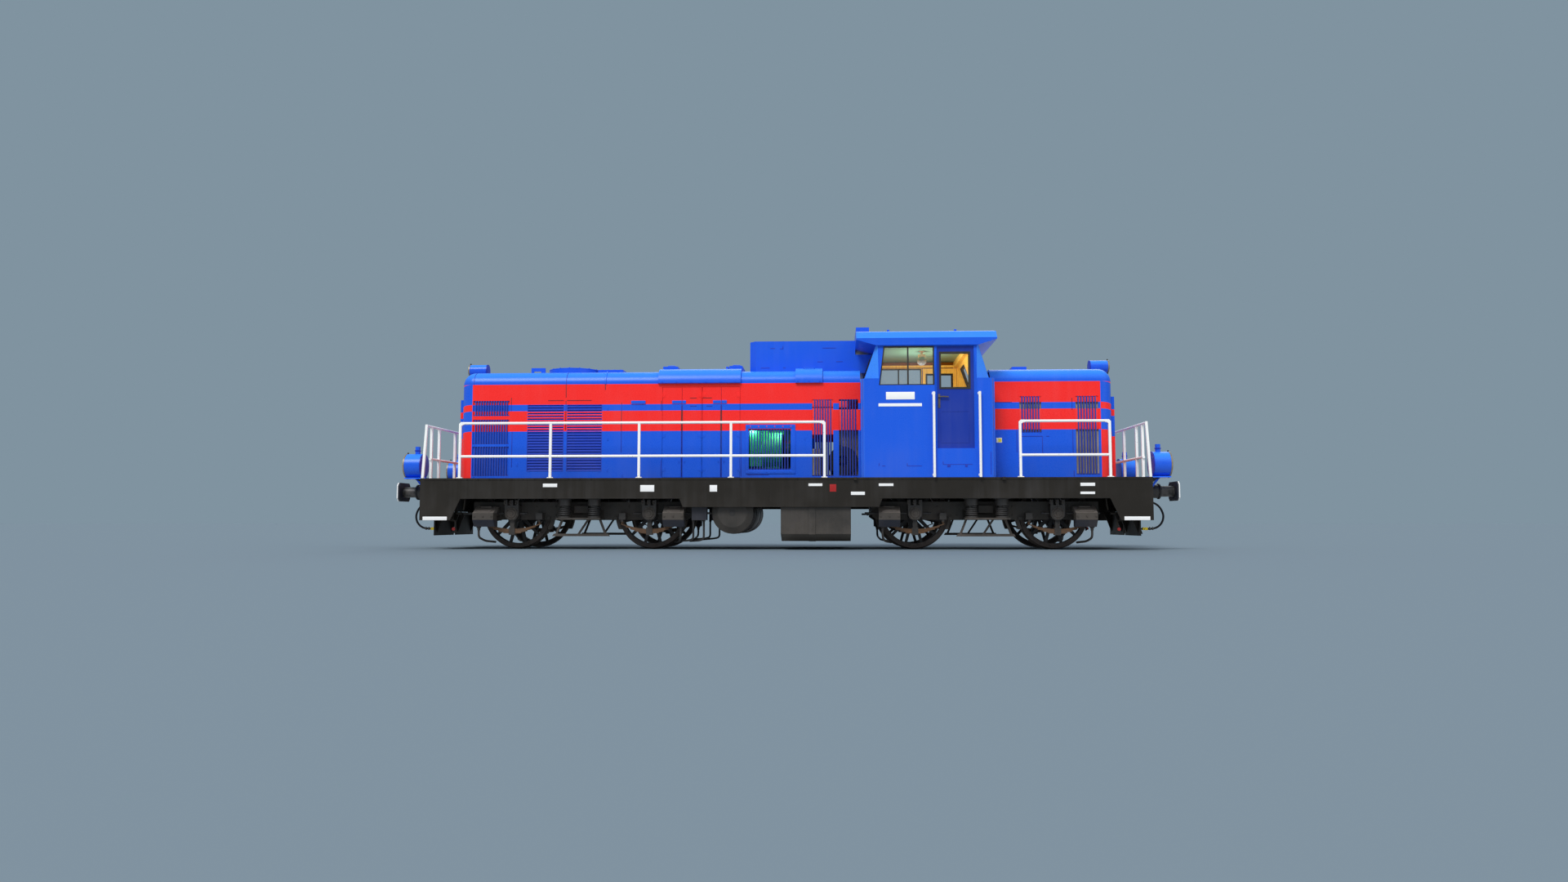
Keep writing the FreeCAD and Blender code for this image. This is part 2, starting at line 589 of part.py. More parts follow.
def draw_gear():
    """Draw hook through its slot in the beam, with the link and screw of its coupling hanging from it."""
    shank, high = HALF_FRAME - 110, HOOK_LOW + HOOK_H
    # x from the beam face, z: shank, jaw and the open throat of the hook
    jaw = ((160, HOOK_LOW), (220, 960), (320, 975), (360, 1060), (340, 1130), (280, 1140), (290, 1075),
           (250, 1040), (200, 1070), (160, high))
    outline = [(shank, HOOK_LOW)] + [(HALF_FRAME + x, z) for x, z in jaw] + [(shank, high)]
    hook = plate_xz(outline, -HOOK_T / 2, HOOK_T / 2)
    x = HALF_FRAME + 240
    arm_in, arm_out = HOOK_T / 2, HOOK_T / 2 + 32
    arms = [box(x, x + 34, *sorted((side * arm_in, side * arm_out)), 790, 1030) for side in (-1, 1)]
    trunnion = box(x - 3, x + 37, -arm_out - 12, arm_out + 12, 750, 790)
    screw = rod((x + 17, 0, 750), (x + 17, 0, 560), 24)
    return [fused([hook, trunnion, screw] + arms)]


def plough_blade():
    """One of the two flat guard plates below the beam, with its brackets and straps."""
    blade = box(PLOUGH_X, PLOUGH_X + PLOUGH_T, *BLADE_Y, PLOUGH_LOW, BEAM_LOW - 10)
    top = BEAM_LOW - 10
    brackets = [plate_xz(((PLOUGH_X, 300), (PLOUGH_X, top), (PLOUGH_X - 150, top)), y, y + 30)
                for y in (150, 900)]
    straps = [box(PLOUGH_X + PLOUGH_T, HALF_FRAME - BEAM_T, y, y + 90, 560, BEAM_LOW + 60)
              for y in (120, 870)]
    return fused([blade, hose_holder()] + brackets + straps)


save("buffer_beams", both_ends([buffer_beam()]))
save("buffers", both_ends(both_sides([buffer()])))
save("draw_gear", both_ends(draw_gear()))
save("snow_ploughs", both_ends(both_sides([plough_blade()])))
for piece, shape in (("brake_hose", brake_hose()), ("hose_head", hose_head())):
    save(f"{piece}_rear", [mirror_y(shape)])
    save(f"{piece}_front", [mirror_y(mirror_x(shape))])


# ---- tanks ------------------------------------------------------------------------------------------------
TANK_X = (3.0, 1252.0)
TANK_HALF = 1450.0
TANK_BOTTOM_HALF = 1100.0
TANK_Z = (153.0, 285.0, 1000.0)     # bottom, foot of the upright sides, top
TANK_STRAP_X = (500.0, 620.0)
TANK_STRAP_T = 6.0
RESERVOIR_X = -870.0
RESERVOIR_Z = 660.0
RESERVOIR_R = 373.0
DRUM_HALF = 1340.0
DISH_R = 260.0              # the drum's ends narrow to this
DISH_T = 60.0
FITTING_BOX = (-1600.0, -1330.0, 1250.0, 1400.0, 530.0, 778.0)
FITTING_HANGER = (-1500.0, -1430.0, 1290.0, 1360.0)


def fuel_tank():
    bottom, foot, top = TANK_Z

    def section(out, down):
        half = ((TANK_BOTTOM_HALF, bottom - down), (TANK_HALF + out, foot - down), (TANK_HALF + out, top))
        return [(-y, z) for y, z in reversed(half)] + list(half)

    tank = plate_yz(section(0, 0), *TANK_X)
    strap = plate_yz(section(2 * TANK_STRAP_T, TANK_STRAP_T), *TANK_STRAP_X)
    hangers = [box(x, x + 60, y, y + 120, top, DECK_TOP - DECK_T)
               for x in (100, 1090) for y in (-1300, 1180)]
    return fused([tank, strap] + hangers)


def air_reservoir():
    x, z = RESERVOIR_X, RESERVOIR_Z
    drum = rod((x, -DRUM_HALF, z), (x, DRUM_HALF, z), RESERVOIR_R)
    caps = [Part.makeCone(RESERVOIR_R, DISH_R, DISH_T, V(x, side * DRUM_HALF, z), V(0, side, 0))
            for side in (-1, 1)]
    saddles = [box(x - 200, x + 200, y, y + 60, z + 250, DECK_TOP - DECK_T) for y in (-900, 840)]
    return fused([drum] + caps + saddles)


def fitting_box():
    return box(*FITTING_BOX).fuse(box(*FITTING_HANGER, FITTING_BOX[-1], DECK_TOP - DECK_T))


save("fuel_tank", [fuel_tank()])
save("air_equipment", [air_reservoir()] + both_sides([fitting_box()]))


# ---- hoods ------------------------------------------------------------------------------------------------
def end_edges(block, x_end, x_cab, top):
    """The upright edges at the closed end and the three roof edges of a hood block."""
    upright = [e for e in block.Edges if all(abs(v.Point.x - x_end) < 1 for v in e.Vertexes)
               and abs(e.Vertexes[0].Point.z - e.Vertexes[1].Point.z) > 1]
    roof = [e for e in block.Edges if all(abs(v.Point.z - top) < 1 for v in e.Vertexes)
            and not all(abs(v.Point.x - x_cab) < 1 for v in e.Vertexes)]
    return upright + roof


def hood_shell(x_end, x_cab):
    """Outside with round end corners and roof edges, inside with flat ones."""
    x0, x1 = min(x_end, x_cab), max(x_end, x_cab)
    outer = box(x0, x1, -HOOD_HALF, HOOD_HALF, DECK_TOP, ROOF_TOP)
    outer = outer.makeFillet(HOOD_EDGE_R, end_edges(outer, x_end, x_cab, ROOF_TOP))
    toward = -math.copysign(1, x_end)
    in_end, in_cab, in_top = x_end + toward * HOOD_T, x_cab + toward * HOOD_T, ROOF_TOP - HOOD_T
    inner = box(*sorted((in_end, in_cab)), HOOD_T - HOOD_HALF, HOOD_HALF - HOOD_T, DECK_TOP - 50, in_top)
    inner = inner.makeChamfer(HOOD_EDGE_R * 0.6, end_edges(inner, in_end, in_cab, in_top))
    return outer.cut(inner)


BIG = 9000.0
NOSE_LEN = HOOD_EDGE_R
END_PANEL_T = 70.0
END_PANEL_HALF = 700.0
END_PANEL_Z = (DECK_TOP + 40, 2800.0)


def door_bay(bay):
    """The hole of a double door and the shallower rebate that its leaves close in, on the +Y side."""
    x0, x1 = bay[0] + HINGE_PIER, bay[1] - HINGE_PIER
    z0, z1 = ENGINE_DOOR_Z
    face = HOOD_HALF - ENGINE_DOOR_T - SEAT_GAP
    rebate = box(x0 - DOOR_EDGE_GAP, x1 + DOOR_EDGE_GAP, face, HOOD_HALF + 20,
                 z0 - DOOR_EDGE_GAP, z1 + DOOR_EDGE_GAP)
    hole = box(x0 + ENGINE_DOOR_STOP, x1 - ENGINE_DOOR_STOP, HOOD_HALF - HOOD_T - 20, HOOD_HALF + 20,
               z0 + ENGINE_DOOR_STOP, z1 - ENGINE_DOOR_STOP)
    return [rebate, hole]


# x0, x1, z0, z1 of each barred opening, bar spacing
GRILLES_LONG = ((-611.0, 157.0, 1455.0, 2200.0, 50.0),
                (555.0, 944.0, 1333.0, 2748.0, 49.0),
                (1049.0, 1400.0, 1333.0, 2748.0, 49.0))
GRILLES_SHORT = ((4335.0, 4732.0, 2120.0, 2786.0, 50.0),
                 (5347.0, 5757.0, 1353.0, 2786.0, 50.0))
LOUVRES = ((-4757.0, -4065.0, 1431.0, 2674.0), (-4012.0, -3345.0, 1431.0, 2674.0))
UPRIGHT_LOUVRES = ((-5784.0, -5096.0, 2470.0, 2754.0, 49.0),
                   (-5784.0, -5096.0, 1943.0, 2401.0, 49.0),
                   (-5784.0, -5096.0, 1349.0, 1897.0, 49.0))
LOUVRE_PITCH = 51.0
RECESS = 22.0
BAR_W = 22.0
STRIP_T = 6.0
RAIL_STRIP = 24.0           # strip behind the bars at the top and bottom of an opening
CHEEK_T = 12.0              # plate at each end of a row of slats


def grille_opening(row):
    x0, x1, z0, z1, _ = row
    return box(x0, x1, HOOD_HALF - HOOD_T - 20, HOOD_HALF + 20, z0, z1)


def bar_panel(row, depth):
    """Upright bars and the two strips behind their ends, as one panel."""
    x0, x1, z0, z1, pitch = row
    face = HOOD_HALF - depth
    count = round((x1 - x0) / pitch) - 1
    step = (x1 - x0) / (count + 1)
    bars = [box(x0 + step * n - BAR_W / 2, x0 + step * n + BAR_W / 2, face + STRIP_T, HOOD_HALF, z0, z1)
            for n in range(1, count + 1)]
    strips = [box(x0, x1, face, face + STRIP_T, z, z + RAIL_STRIP) for z in (z0, z1 - RAIL_STRIP)]
    return fused(bars + strips)


def recess(x0, x1, z0, z1):
    return box(x0, x1, HOOD_HALF - RECESS, HOOD_HALF + 20, z0, z1)


def louvre_panel(row):
    """Slats that slope down and out, one above the other, between two cheeks."""
    x0, x1, z0, z1 = row
    count = int((z1 - z0) / LOUVRE_PITCH)
    step = (z1 - z0) / count
    pieces = [box(x0, x0 + CHEEK_T, HOOD_HALF - RECESS, HOOD_HALF, z0, z1),
              box(x1 - CHEEK_T, x1, HOOD_HALF - RECESS, HOOD_HALF, z0, z1)]
    for n in range(count):
        z = z0 + step * n
        outline = ((HOOD_HALF - RECESS, z + step * 0.55), (HOOD_HALF, z + step * 0.1),
                   (HOOD_HALF, z + step * 0.32), (HOOD_HALF - RECESS, z + step * 0.8))
        pieces.append(plate_yz(outline, x0 + CHEEK_T, x1 - CHEEK_T))
    return fused(pieces)


def hood_parts(x_end, x_cab, grilles, bays, louvres, uprights):
    shell = hood_shell(x_end, x_cab)
    seam = x_end + NOSE_LEN if x_end < 0 else x_end - NOSE_LEN
    x0, x1 = min(seam, x_cab), max(seam, x_cab)
    side = shell.common(box(x0, x1, 0, BIG, 0, HOOD_SHOULDER))
    tools = [grille_opening(row) for row in grilles]
    tools += [tool for bay in bays for tool in door_bay(bay)]
    tools += [recess(*row[:4]) for row in louvres + uprights]
    side = side.cut(tools)
    roof = shell.common(box(x0, x1, -BIG, BIG, HOOD_SHOULDER, BIG))
    nose = shell.common(box(*sorted((seam, math.copysign(BIG, x_end))), -BIG, BIG, 0, BIG))
    door_x = sorted((x_end, x_end + math.copysign(END_PANEL_T, x_end)))
    panel = box(*door_x, -END_PANEL_HALF, END_PANEL_HALF, *END_PANEL_Z)
    return mirror_y(side), side, roof, fused([nose, panel])


for name, x_end, x_cab, grilles, bays, louvres, uprights in (
        ("long_hood", -HOOD_END, CAB_X0, GRILLES_LONG, ENGINE_BAYS, LOUVRES, UPRIGHT_LOUVRES),
        ("short_hood", HOOD_END, CAB_X1, GRILLES_SHORT, (), (), ())):
    left, right, roof, nose = hood_parts(x_end, x_cab, grilles, bays, louvres, uprights)
    panels = [bar_panel(row, HOOD_T) for row in grilles] + [bar_panel(row, RECESS) for row in uprights]
    panels += [louvre_panel(row) for row in louvres]
    save(f"{name}_left", [left])
    save(f"{name}_right", [right])
    save(f"{name}_roof", [roof])
    save(f"{name}_nose", [nose])
    save(f"{name}_grilles", both_sides(panels))


def engine_door(bay, leaf):
    """One leaf of a double door on the +Y side; leaf -1 hangs at the bay's front, 1 at its rear."""
    x0, x1 = bay[0] + HINGE_PIER, bay[1] - HINGE_PIER
    middle = (x0 + x1) / 2
    z0, z1 = ENGINE_DOOR_Z
    span = (x0, middle - LEAF_GAP / 2) if leaf < 0 else (middle + LEAF_GAP / 2, x1)
    return box(*span, HOOD_HALF - ENGINE_DOOR_T, HOOD_HALF, z0, z1)


for bay_number, bay in enumerate(ENGINE_BAYS):
    for leaf, word in ((-1, "a"), (1, "b")):
        solid = engine_door(bay, leaf)
        save(f"engine_door_right_{bay_number + 1}{word}", [solid])
        save(f"engine_door_left_{bay_number + 1}{word}", [mirror_y(solid)])


ENGINE_X = (-2300.0, -280.0)
ENGINE_HALF = 470.0
ENGINE_TOP = 2480.0
BEARER_H = 130.0
SHAFT_Z = 1880.0
GENERATOR_R = 430.0
GENERATOR_END = 230.0
SHAFT_R = 160.0
SHAFT_END = 420.0


def engine_block():
    """Engine, generator and shaft cover as one plain block on its bearers, under the hood."""
    engine = box(*ENGINE_X, -ENGINE_HALF, ENGINE_HALF, DECK_TOP + BEARER_H, ENGINE_TOP)
    generator = rod((ENGINE_X[1], 0, SHAFT_Z), (GENERATOR_END, 0, SHAFT_Z), GENERATOR_R)
    shaft = rod((GENERATOR_END, 0, SHAFT_Z), (SHAFT_END, 0, SHAFT_Z), SHAFT_R)
    half = ENGINE_HALF + 10
    bearers = [box(x, x + 90, -half, half, DECK_TOP, DECK_TOP + BEARER_H + 10)
               for x in (-2200, -1250, -420)]
    foot = box(-240, 180, -300, 300, DECK_TOP, 1560)
    return fused([engine, generator, shaft, foot] + bearers)


save("engine_block", [engine_block()])


# ---- cab --------------------------------------------------------------------------------------------------
def octagon(x_in, half, facet):
    """Plan outline of the cab at one height, all corners cut."""
    x0, x1 = CAB_X0 + x_in, CAB_X1 - x_in
    low = half - facet
    return ((x0, -low), (x0 + facet, -half), (x1 - facet, -half), (x1, -low),
            (x1, low), (x1 - facet, half), (x0 + facet, half), (x0, low))


def cab_shell():
    lower = plate_xy(octagon(0, HALF_WIDTH, CAB_CHAMFER), DECK_TOP, WAIST)
    upper = frustum(octagon(UPPER_END_IN, HALF_WIDTH, FACET_LOW), WAIST,
                    octagon(UPPER_END_IN + UPPER_END_LEAN, HALF_WIDTH - LEAN, FACET_TOP), EAVES)
    lower_room = box(CAB_X0 + CAB_END_T, CAB_X1 - CAB_END_T, -CAB_WALL_IN, CAB_WALL_IN, DECK_TOP, WAIST)
    step_in = UPPER_END_IN + UPPER_END_T
    upper_room = frustum(octagon(step_in, CAB_WALL_IN, ROOM_FACET_LOW), WAIST,
                         octagon(step_in + UPPER_END_LEAN, CAB_WALL_IN, ROOM_FACET_TOP), EAVES)
    return lower.fuse(upper).cut([lower_room, upper_room])


# outline of a side window, with its sloped front edge
SIDE_WINDOW = ((1763.0, 2935.0), (2753.0, 2935.0), (2753.0, 3644.0), (1851.0, 3644.0))
DOOR_WINDOW = (2865.0, 3371.0, 2892.0, 3516.0)      # x0, x1, z0, z1
PANE_T = 10.0
PANE_SET = 15.0             # from the inner face of a cab side to its pane


def cab_side_window():
    return plate_xz(SIDE_WINDOW, CAB_WALL_IN - 100, HALF_WIDTH + 50)


def cab_door_opening():
    x0, x1, z0, z1 = CAB_DOOR
    lap = CAB_DOOR_LAP + DOOR_EDGE_GAP
    clear = box(x0, x1, CAB_WALL_IN - 100, HALF_WIDTH + 50, z0, z1)
    splay = HALF_WIDTH - DOOR_LIP_Y - 10
    outer = plate_xy(((x0, DOOR_LIP_Y + 10), (x1, DOOR_LIP_Y + 10), (x1 + splay + 20, HALF_WIDTH + 20),
                      (x0 - splay - 20, HALF_WIDTH + 20)), z0, z1)
    pocket = box(x0 - lap, x1 + lap, CAB_WALL_IN - 100, DOOR_LIP_Y, z0 - 12, z1 + 12)
    return [clear, outer, pocket]


END_WINDOW_Y = (470.0, 1150.0)
END_WINDOW_Z = (3120.0, 3600.0)


def end_windows():
    return [box(CAB_X0, CAB_X1, y0, y1, *END_WINDOW_Z)
            for y0, y1 in (END_WINDOW_Y, (-END_WINDOW_Y[1], -END_WINDOW_Y[0]))]


cab = cab_shell()
SIDE_SPLIT = HALF_WIDTH - FACET_LOW
right_wall = cab.common(box(CAB_X0, CAB_X1, SIDE_SPLIT, BIG, 0, BIG))
right_wall = right_wall.cut([cab_side_window()] + cab_door_opening())
ends = cab.common(box(CAB_X0, CAB_X1, -SIDE_SPLIT, SIDE_SPLIT, 0, BIG)).cut(end_windows())
save("cab_wall_left", [mirror_y(right_wall)])
save("cab_wall_right", [right_wall])
save("cab_wall_front", [ends.common(box(0, CAB_MID, -BIG, BIG, 0, BIG))])
save("cab_wall_rear", [ends.common(box(CAB_MID, BIG, -BIG, BIG, 0, BIG))])


OVERHANG_X = (1715.0, 3545.0)       # the underside of the roof slopes up outside these
OVERHANG_Z = 3764.0
CEILING_X = (1850.0, 3410.0)
CEILING_Z = 3776.0
AERIAL_BOX = (1380.0, 1630.0, -300.0, 300.0)
AERIAL_BOX_TOP = 4203.0
EYE_TOP = 4059.0            # lifting eyes on the roof


def cab_roof():
    """Curved roof with square fascias and sloped edges, hollow over the cab."""
    edge = FASCIA_TOP - EAVES
    y0, y1 = HALF_WIDTH, HALF_WIDTH - edge
    z1 = FASCIA_TOP + edge
    x0 = ROOF_X0
    points = [V(x0, -y1, z1), V(x0, -y0, FASCIA_TOP), V(x0, -y0, EAVES), V(x0, y0, EAVES),
              V(x0, y0, FASCIA_TOP), V(x0, y1, z1)]
    edges = [Part.makeLine(a, b) for a, b in zip(points, points[1:])]
    edges.append(Part.Arc(points[-1], V(x0, 0, CROWN), points[0]).toShape())
    block = Part.Face(Part.Wire(edges)).extrude(V(ROOF_X1 - ROOF_X0, 0, 0))
    low = EAVES - 10
    under = [plate_xz(((tip, low), (root, low), (root, EAVES), (tip, OVERHANG_Z)), -BIG, BIG)
             for tip, root in ((ROOF_X0 - 10, OVERHANG_X[0]), (ROOF_X1 + 10, OVERHANG_X[1]))]
    ceiling = box(*CEILING_X, -CAB_WALL_IN, CAB_WALL_IN, low, CEILING_Z)
    aerial_box = box(*AERIAL_BOX, FASCIA_TOP, AERIAL_BOX_TOP)
    eyes = [box(x, x + 45, y - 15, y + 15, FASCIA_TOP, EYE_TOP) for x in (1946, 3183) for y in (-800, 800)]
    return fused([block.cut(under + [ceiling]), aerial_box] + eyes)


def cab_floor():
    x0, x1, under = CAB_X0 + CAB_END_T, CAB_X1 - CAB_END_T, CAB_FLOOR - CAB_FLOOR_T
    floor = box(x0, x1, -CAB_WALL_IN, CAB_WALL_IN, under, CAB_FLOOR)
    bearers = [box(x, x + 60, -CAB_WALL_IN, CAB_WALL_IN, DECK_TOP, under) for x in (x0, x1 - 60)]
    return fused([floor] + bearers)


def cab_glass():
    """Panes set in the middle of each window opening."""
    side = CAB_WALL_IN + PANE_SET
    panes = both_sides([plate_xz(SIDE_WINDOW, side, side + PANE_T)])
    slope = UPPER_END_LEAN / (EAVES - WAIST)
    low, high = END_WINDOW_Z
    x_low = CAB_X0 + UPPER_END_IN + (low - WAIST) * slope + 40
    x_high = x_low + (high - low) * slope
    for y0, y1 in (END_WINDOW_Y, (-END_WINDOW_Y[1], -END_WINDOW_Y[0])):
        pane = plate_xz(((x_low, low), (x_low + PANE_T, low), (x_high + PANE_T, high), (x_high, high)),
                        y0, y1)
        panes += [pane, pane.mirror(V(CAB_MID, 0, 0), V(1, 0, 0))]
    return panes


DESK_HALF = 700.0
# the front desk's side outline: from the front wall, height
DESK_OUTLINE = ((0.0, CAB_FLOOR), (380.0, CAB_FLOOR), (460.0, 2600.0), (430.0, 2740.0), (120.0, 2860.0),
                (0.0, 2860.0))
REAR_DESK = (220.0, 650.0, 2820.0)      # depth, half width, top
SEAT_Y = 850.0
SEAT_X = (2200.0, 2640.0)
SEAT_HALF = 220.0
SEAT_Z = (2230.0, 2330.0)
BACK_X = (2600.0, 2680.0)
BACK_TOP = 2820.0
SEAT_POST_R = 45.0


def drivers_desk():
    """Control desk under the front windows and a second one at the rear wall, with a seat at each."""
    x0 = CAB_X0 + CAB_END_T
    desk = plate_xz([(x0 + x, z) for x, z in DESK_OUTLINE], -DESK_HALF, DESK_HALF)
    depth, half, top = REAR_DESK
    rear = box(CAB_X1 - CAB_END_T - depth, CAB_X1 - CAB_END_T, -half, half, CAB_FLOOR, top)
    seats = []
    for y in (-SEAT_Y, SEAT_Y):
        middle = sum(SEAT_X) / 2
        post = rod((middle, y, CAB_FLOOR), (middle, y, SEAT_Z[0]), SEAT_POST_R)
        cushion = box(*SEAT_X, y - SEAT_HALF, y + SEAT_HALF, *SEAT_Z)
        back = box(*BACK_X, y - SEAT_HALF + 10, y + SEAT_HALF - 10, SEAT_Z[1], BACK_TOP)
        seats.append(fused([post, cushion, back]))
    return [desk, rear] + seats


def cab_door():
    x0, x1, z0, z1 = CAB_DOOR
    lap = CAB_DOOR_LAP
    y1 = DOOR_LIP_Y - SEAT_GAP
    leaf = box(x0 - lap, x1 + lap, y1 - CAB_DOOR_T, y1, z0 - 6, z1 + 6)
    wx0, wx1, wz0, wz1 = DOOR_WINDOW
    return leaf.cut(box(wx0, wx1, y1 - 100, y1 + 50, wz0, wz1))


save("cab_roof", [cab_roof()])
save("cab_floor", [cab_floor()])
save("cab_glass", cab_glass())
save("drivers_desk", drivers_desk())
save("cab_door_right", [cab_door()])
save("cab_door_left", [mirror_y(cab_door())])


# ---- on the hoods -----------------------------------------------------------------------------------------
SILENCER_X = -640.0
SILENCER_HALF = 430.0
SILENCER_TOP = 3925.0
SILENCER_CUT = (120.0, 110.0)       # its front corners are cut by this much
LUG_X = (-4821.0, -4552.0)
LUG_Y = (485.0, 515.0)
LUG_TOP = 3431.0
LUG_HOLE = (-4772.0, -4630.0, 3368.0)       # x0, x1, top
FAN_X = -4090.0
FAN_R = 500.0
FAN_RIM = 3422.0
FAN_FLAT_R = 235.0
FAN_DOME = 46.0
DUCT = (-3592.0, -3107.0, 250.0, 3427.0)    # x0, x1, half width, top
RIB_X = (-3303.0, -3279.0)


def silencer_box():
    """Exhaust silencer before the cab: its back follows the sloping wall and passes under the roof."""
    slope = UPPER_END_LEAN / (EAVES - WAIST)
    wall = CAB_X0 + UPPER_END_IN
    outline = ((SILENCER_X, ROOF_TOP), (wall + (ROOF_TOP - WAIST) * slope, ROOF_TOP),
               (wall + (EAVES - WAIST) * slope, EAVES), (ROOF_X0, EAVES), (ROOF_X0, SILENCER_TOP),
               (SILENCER_X, SILENCER_TOP))
    body = plate_xz(outline, -SILENCER_HALF, SILENCER_HALF)
    along, across = SILENCER_CUT
    corner = ((SILENCER_X, SILENCER_HALF - across), (SILENCER_X + along, SILENCER_HALF),
              (SILENCER_X, SILENCER_HALF))
    return body.cut(both_sides([plate_xy(corner, ROOF_TOP - 10, SILENCER_TOP + 10)]))


def roof_saddle(x0, x1, thickness):
    """A cover of even thickness that follows the round roof edges down to the side panels."""
    def block(half, top, edge_r):
        solid = box(x0, x1, -half, half, HOOD_SHOULDER - HOOD_RISE, top)
        edges = [e for e in solid.Edges if all(abs(v.Point.z - top) < 1 for v in e.Vertexes)
                 and abs(e.Vertexes[0].Point.x - e.Vertexes[1].Point.x) > 1]
        return solid.makeFillet(edge_r, edges)

    outer = block(HOOD_HALF + thickness, ROOF_TOP + thickness, HOOD_EDGE_R + thickness)
    saddle = outer.cut(block(HOOD_HALF, ROOF_TOP, HOOD_EDGE_R))
    return saddle.common(box(x0, x1, -BIG, BIG, HOOD_SHOULDER, BIG))


def lifting_lug():
    """An upright plate with a square hole, on the roof over the long hood's end."""
    x0, x1, top = LUG_HOLE
    plate = box(*LUG_X, *LUG_Y, ROOF_TOP, LUG_TOP)
    return plate.cut(box(x0, x1, LUG_Y[0] - 50, LUG_Y[1] + 50, ROOF_TOP - 1, top))


def roof_fan():
    drum = rod((FAN_X, 0, ROOF_TOP), (FAN_X, 0, FAN_RIM), FAN_R)
    dome = Part.makeCone(FAN_R, FAN_FLAT_R, FAN_DOME, V(FAN_X, 0, FAN_RIM), V(0, 0, 1))
    x0, x1, half, top = DUCT
    duct = box(x0, x1, -half, half, ROOF_TOP, top)
    return fused([drum, dome, duct]).cut(joint_rib())


def joint_rib():
    return roof_saddle(*RIB_X, RIB_T)


# boxes on the engine room cover and on the short hood: x0, x1, half width, top
REAR_BOX = (4330.0, 4600.0, 260.0, 3430.0)
ENGINE_COVER_X = (-2300.0, -763.0)
HATCH_X = (249.0, 746.0)
ROOF_BOXES = ((-2287.0, -2006.0, 500.0, 3445.0), (-1086.0, -1040.0, 500.0, 3436.0),
              (-1024.0, -776.0, 500.0, 3451.0))


def roof_fittings():
    cover_top = ROOF_TOP + COVER_T
    engine_cover = fused([roof_saddle(*ENGINE_COVER_X, COVER_T)]
                         + [box(x0, x1, -half, half, cover_top, top) for x0, x1, half, top in ROOF_BOXES])
    hatches = [roof_saddle(*HATCH_X, COVER_T).common(box(0, BIG, y0, y1, 0, BIG))
               for y0, y1 in ((-BIG, -SILENCER_HALF), (SILENCER_HALF, BIG))]
    x0, x1, half, top = REAR_BOX
    rear_box = box(x0, x1, -half, half, ROOF_TOP, top)
    return [roof_fan(), joint_rib(), engine_cover, rear_box] + both_sides([lifting_lug()]) + hatches


HEAD_LAMP_X = (5840.0, 6170.0)
HEAD_LAMP_R = 118.0
HEAD_LAMP_UP = 150.0        # its axis above the roof


def head_lamp():
    z = ROOF_TOP + HEAD_LAMP_UP
    housing = rod((HEAD_LAMP_X[1], 0, z), (HEAD_LAMP_X[0], 0, z), HEAD_LAMP_R)
    foot = box(5600, 5780, -80, 80, ROOF_TOP, ROOF_TOP + 20)
    arm = box(5600, 6080, -50, 50, ROOF_TOP + 20, ROOF_TOP + 45)
    return fused([housing, foot, arm])


MARKER_R = 224.0
MARKER_SHELF = DECK_TOP + 21.0
MARKER_Y = 1100.0
MARKER_X = (6640.0, 6930.0)
SHELF_HALF = 170.0
KNOB_X = 6755.0
KNOB_R = 46.0
KNOB_TOP = 1888.0


def marker_lamp():
    """A lamp beside the end steps on its shelf in front of the buffer beam, with a vent knob on top."""
    y, z = MARKER_Y, MARKER_SHELF + MARKER_R - 4
    shelf = box(HALF_FRAME, MARKER_X[1], y - SHELF_HALF, y + SHELF_HALF, DECK_TOP, MARKER_SHELF)
    foot = 1020.0
    strut = plate_xz(((HALF_FRAME, foot), (HALF_FRAME + 30, foot), (6780, DECK_TOP), (6730, DECK_TOP)),
                     y - 20, y + 20)
    housing = rod((MARKER_X[0], y, z), (MARKER_X[1], y, z), MARKER_R)
    knob = rod((KNOB_X, y, z + MARKER_R - 20), (KNOB_X, y, KNOB_TOP), KNOB_R)
    return fused([shelf, strut, housing, knob])


save("hood_top_fittings", [silencer_box()] + roof_fittings())
save("lamps", both_ends([head_lamp()] + both_sides([marker_lamp()])))


# ---- railings ---------------------------------------------------------------------------------------------
RAIL_SECTIONS = ((-5837.0, 785.0, (-5837.0, -4173.0, -2556.0, -893.0, 785.0)),
                 (4256.0, 5824.0, (4256.0, 5824.0)))


def end_post(x, side):
    """The last post of a railing, mitred into the end of its top rail."""
    half, top = POST / 2, RAIL_TOP + RAIL_R
    # from the middle of the post towards the rail, height
    profile = ((-half, DECK_TOP), (half, DECK_TOP), (half, RAIL_TOP - 2 * RAIL_R),
               (half + 30, RAIL_TOP - RAIL_R), (half + 60, RAIL_TOP - RAIL_R), (half + 60, top),
               (half - 10, top), (-half, top - 34))
    return plate_xz([(x + side * reach, z) for reach, z in profile], RAIL_Y - half, RAIL_Y + half)


def side_rails():
    pieces = []
    for x0, x1, posts in RAIL_SECTIONS:
        pieces.append(rod((x0 + POST, RAIL_Y, RAIL_TOP), (x1 - POST, RAIL_Y, RAIL_TOP), RAIL_R))
        pieces.append(rod((x0, RAIL_Y, RAIL_MID), (x1, RAIL_Y, RAIL_MID), RAIL_R))
        half = POST / 2
        pieces += [box(x - half, x + half, RAIL_Y - half, RAIL_Y + half, DECK_TOP, RAIL_TOP)
                   for x in posts[1:-1]]
        pieces += [end_post(x, side) for x, side in ((x0, 1), (x1, -1))]
    return pieces


GRAB_X = (2731.0, 3542.0)
GRAB_TOP = 2808.0
GRAB_FEET = (1330.0, 2780.0)
GRAB_FOOT_HALF = 15.0


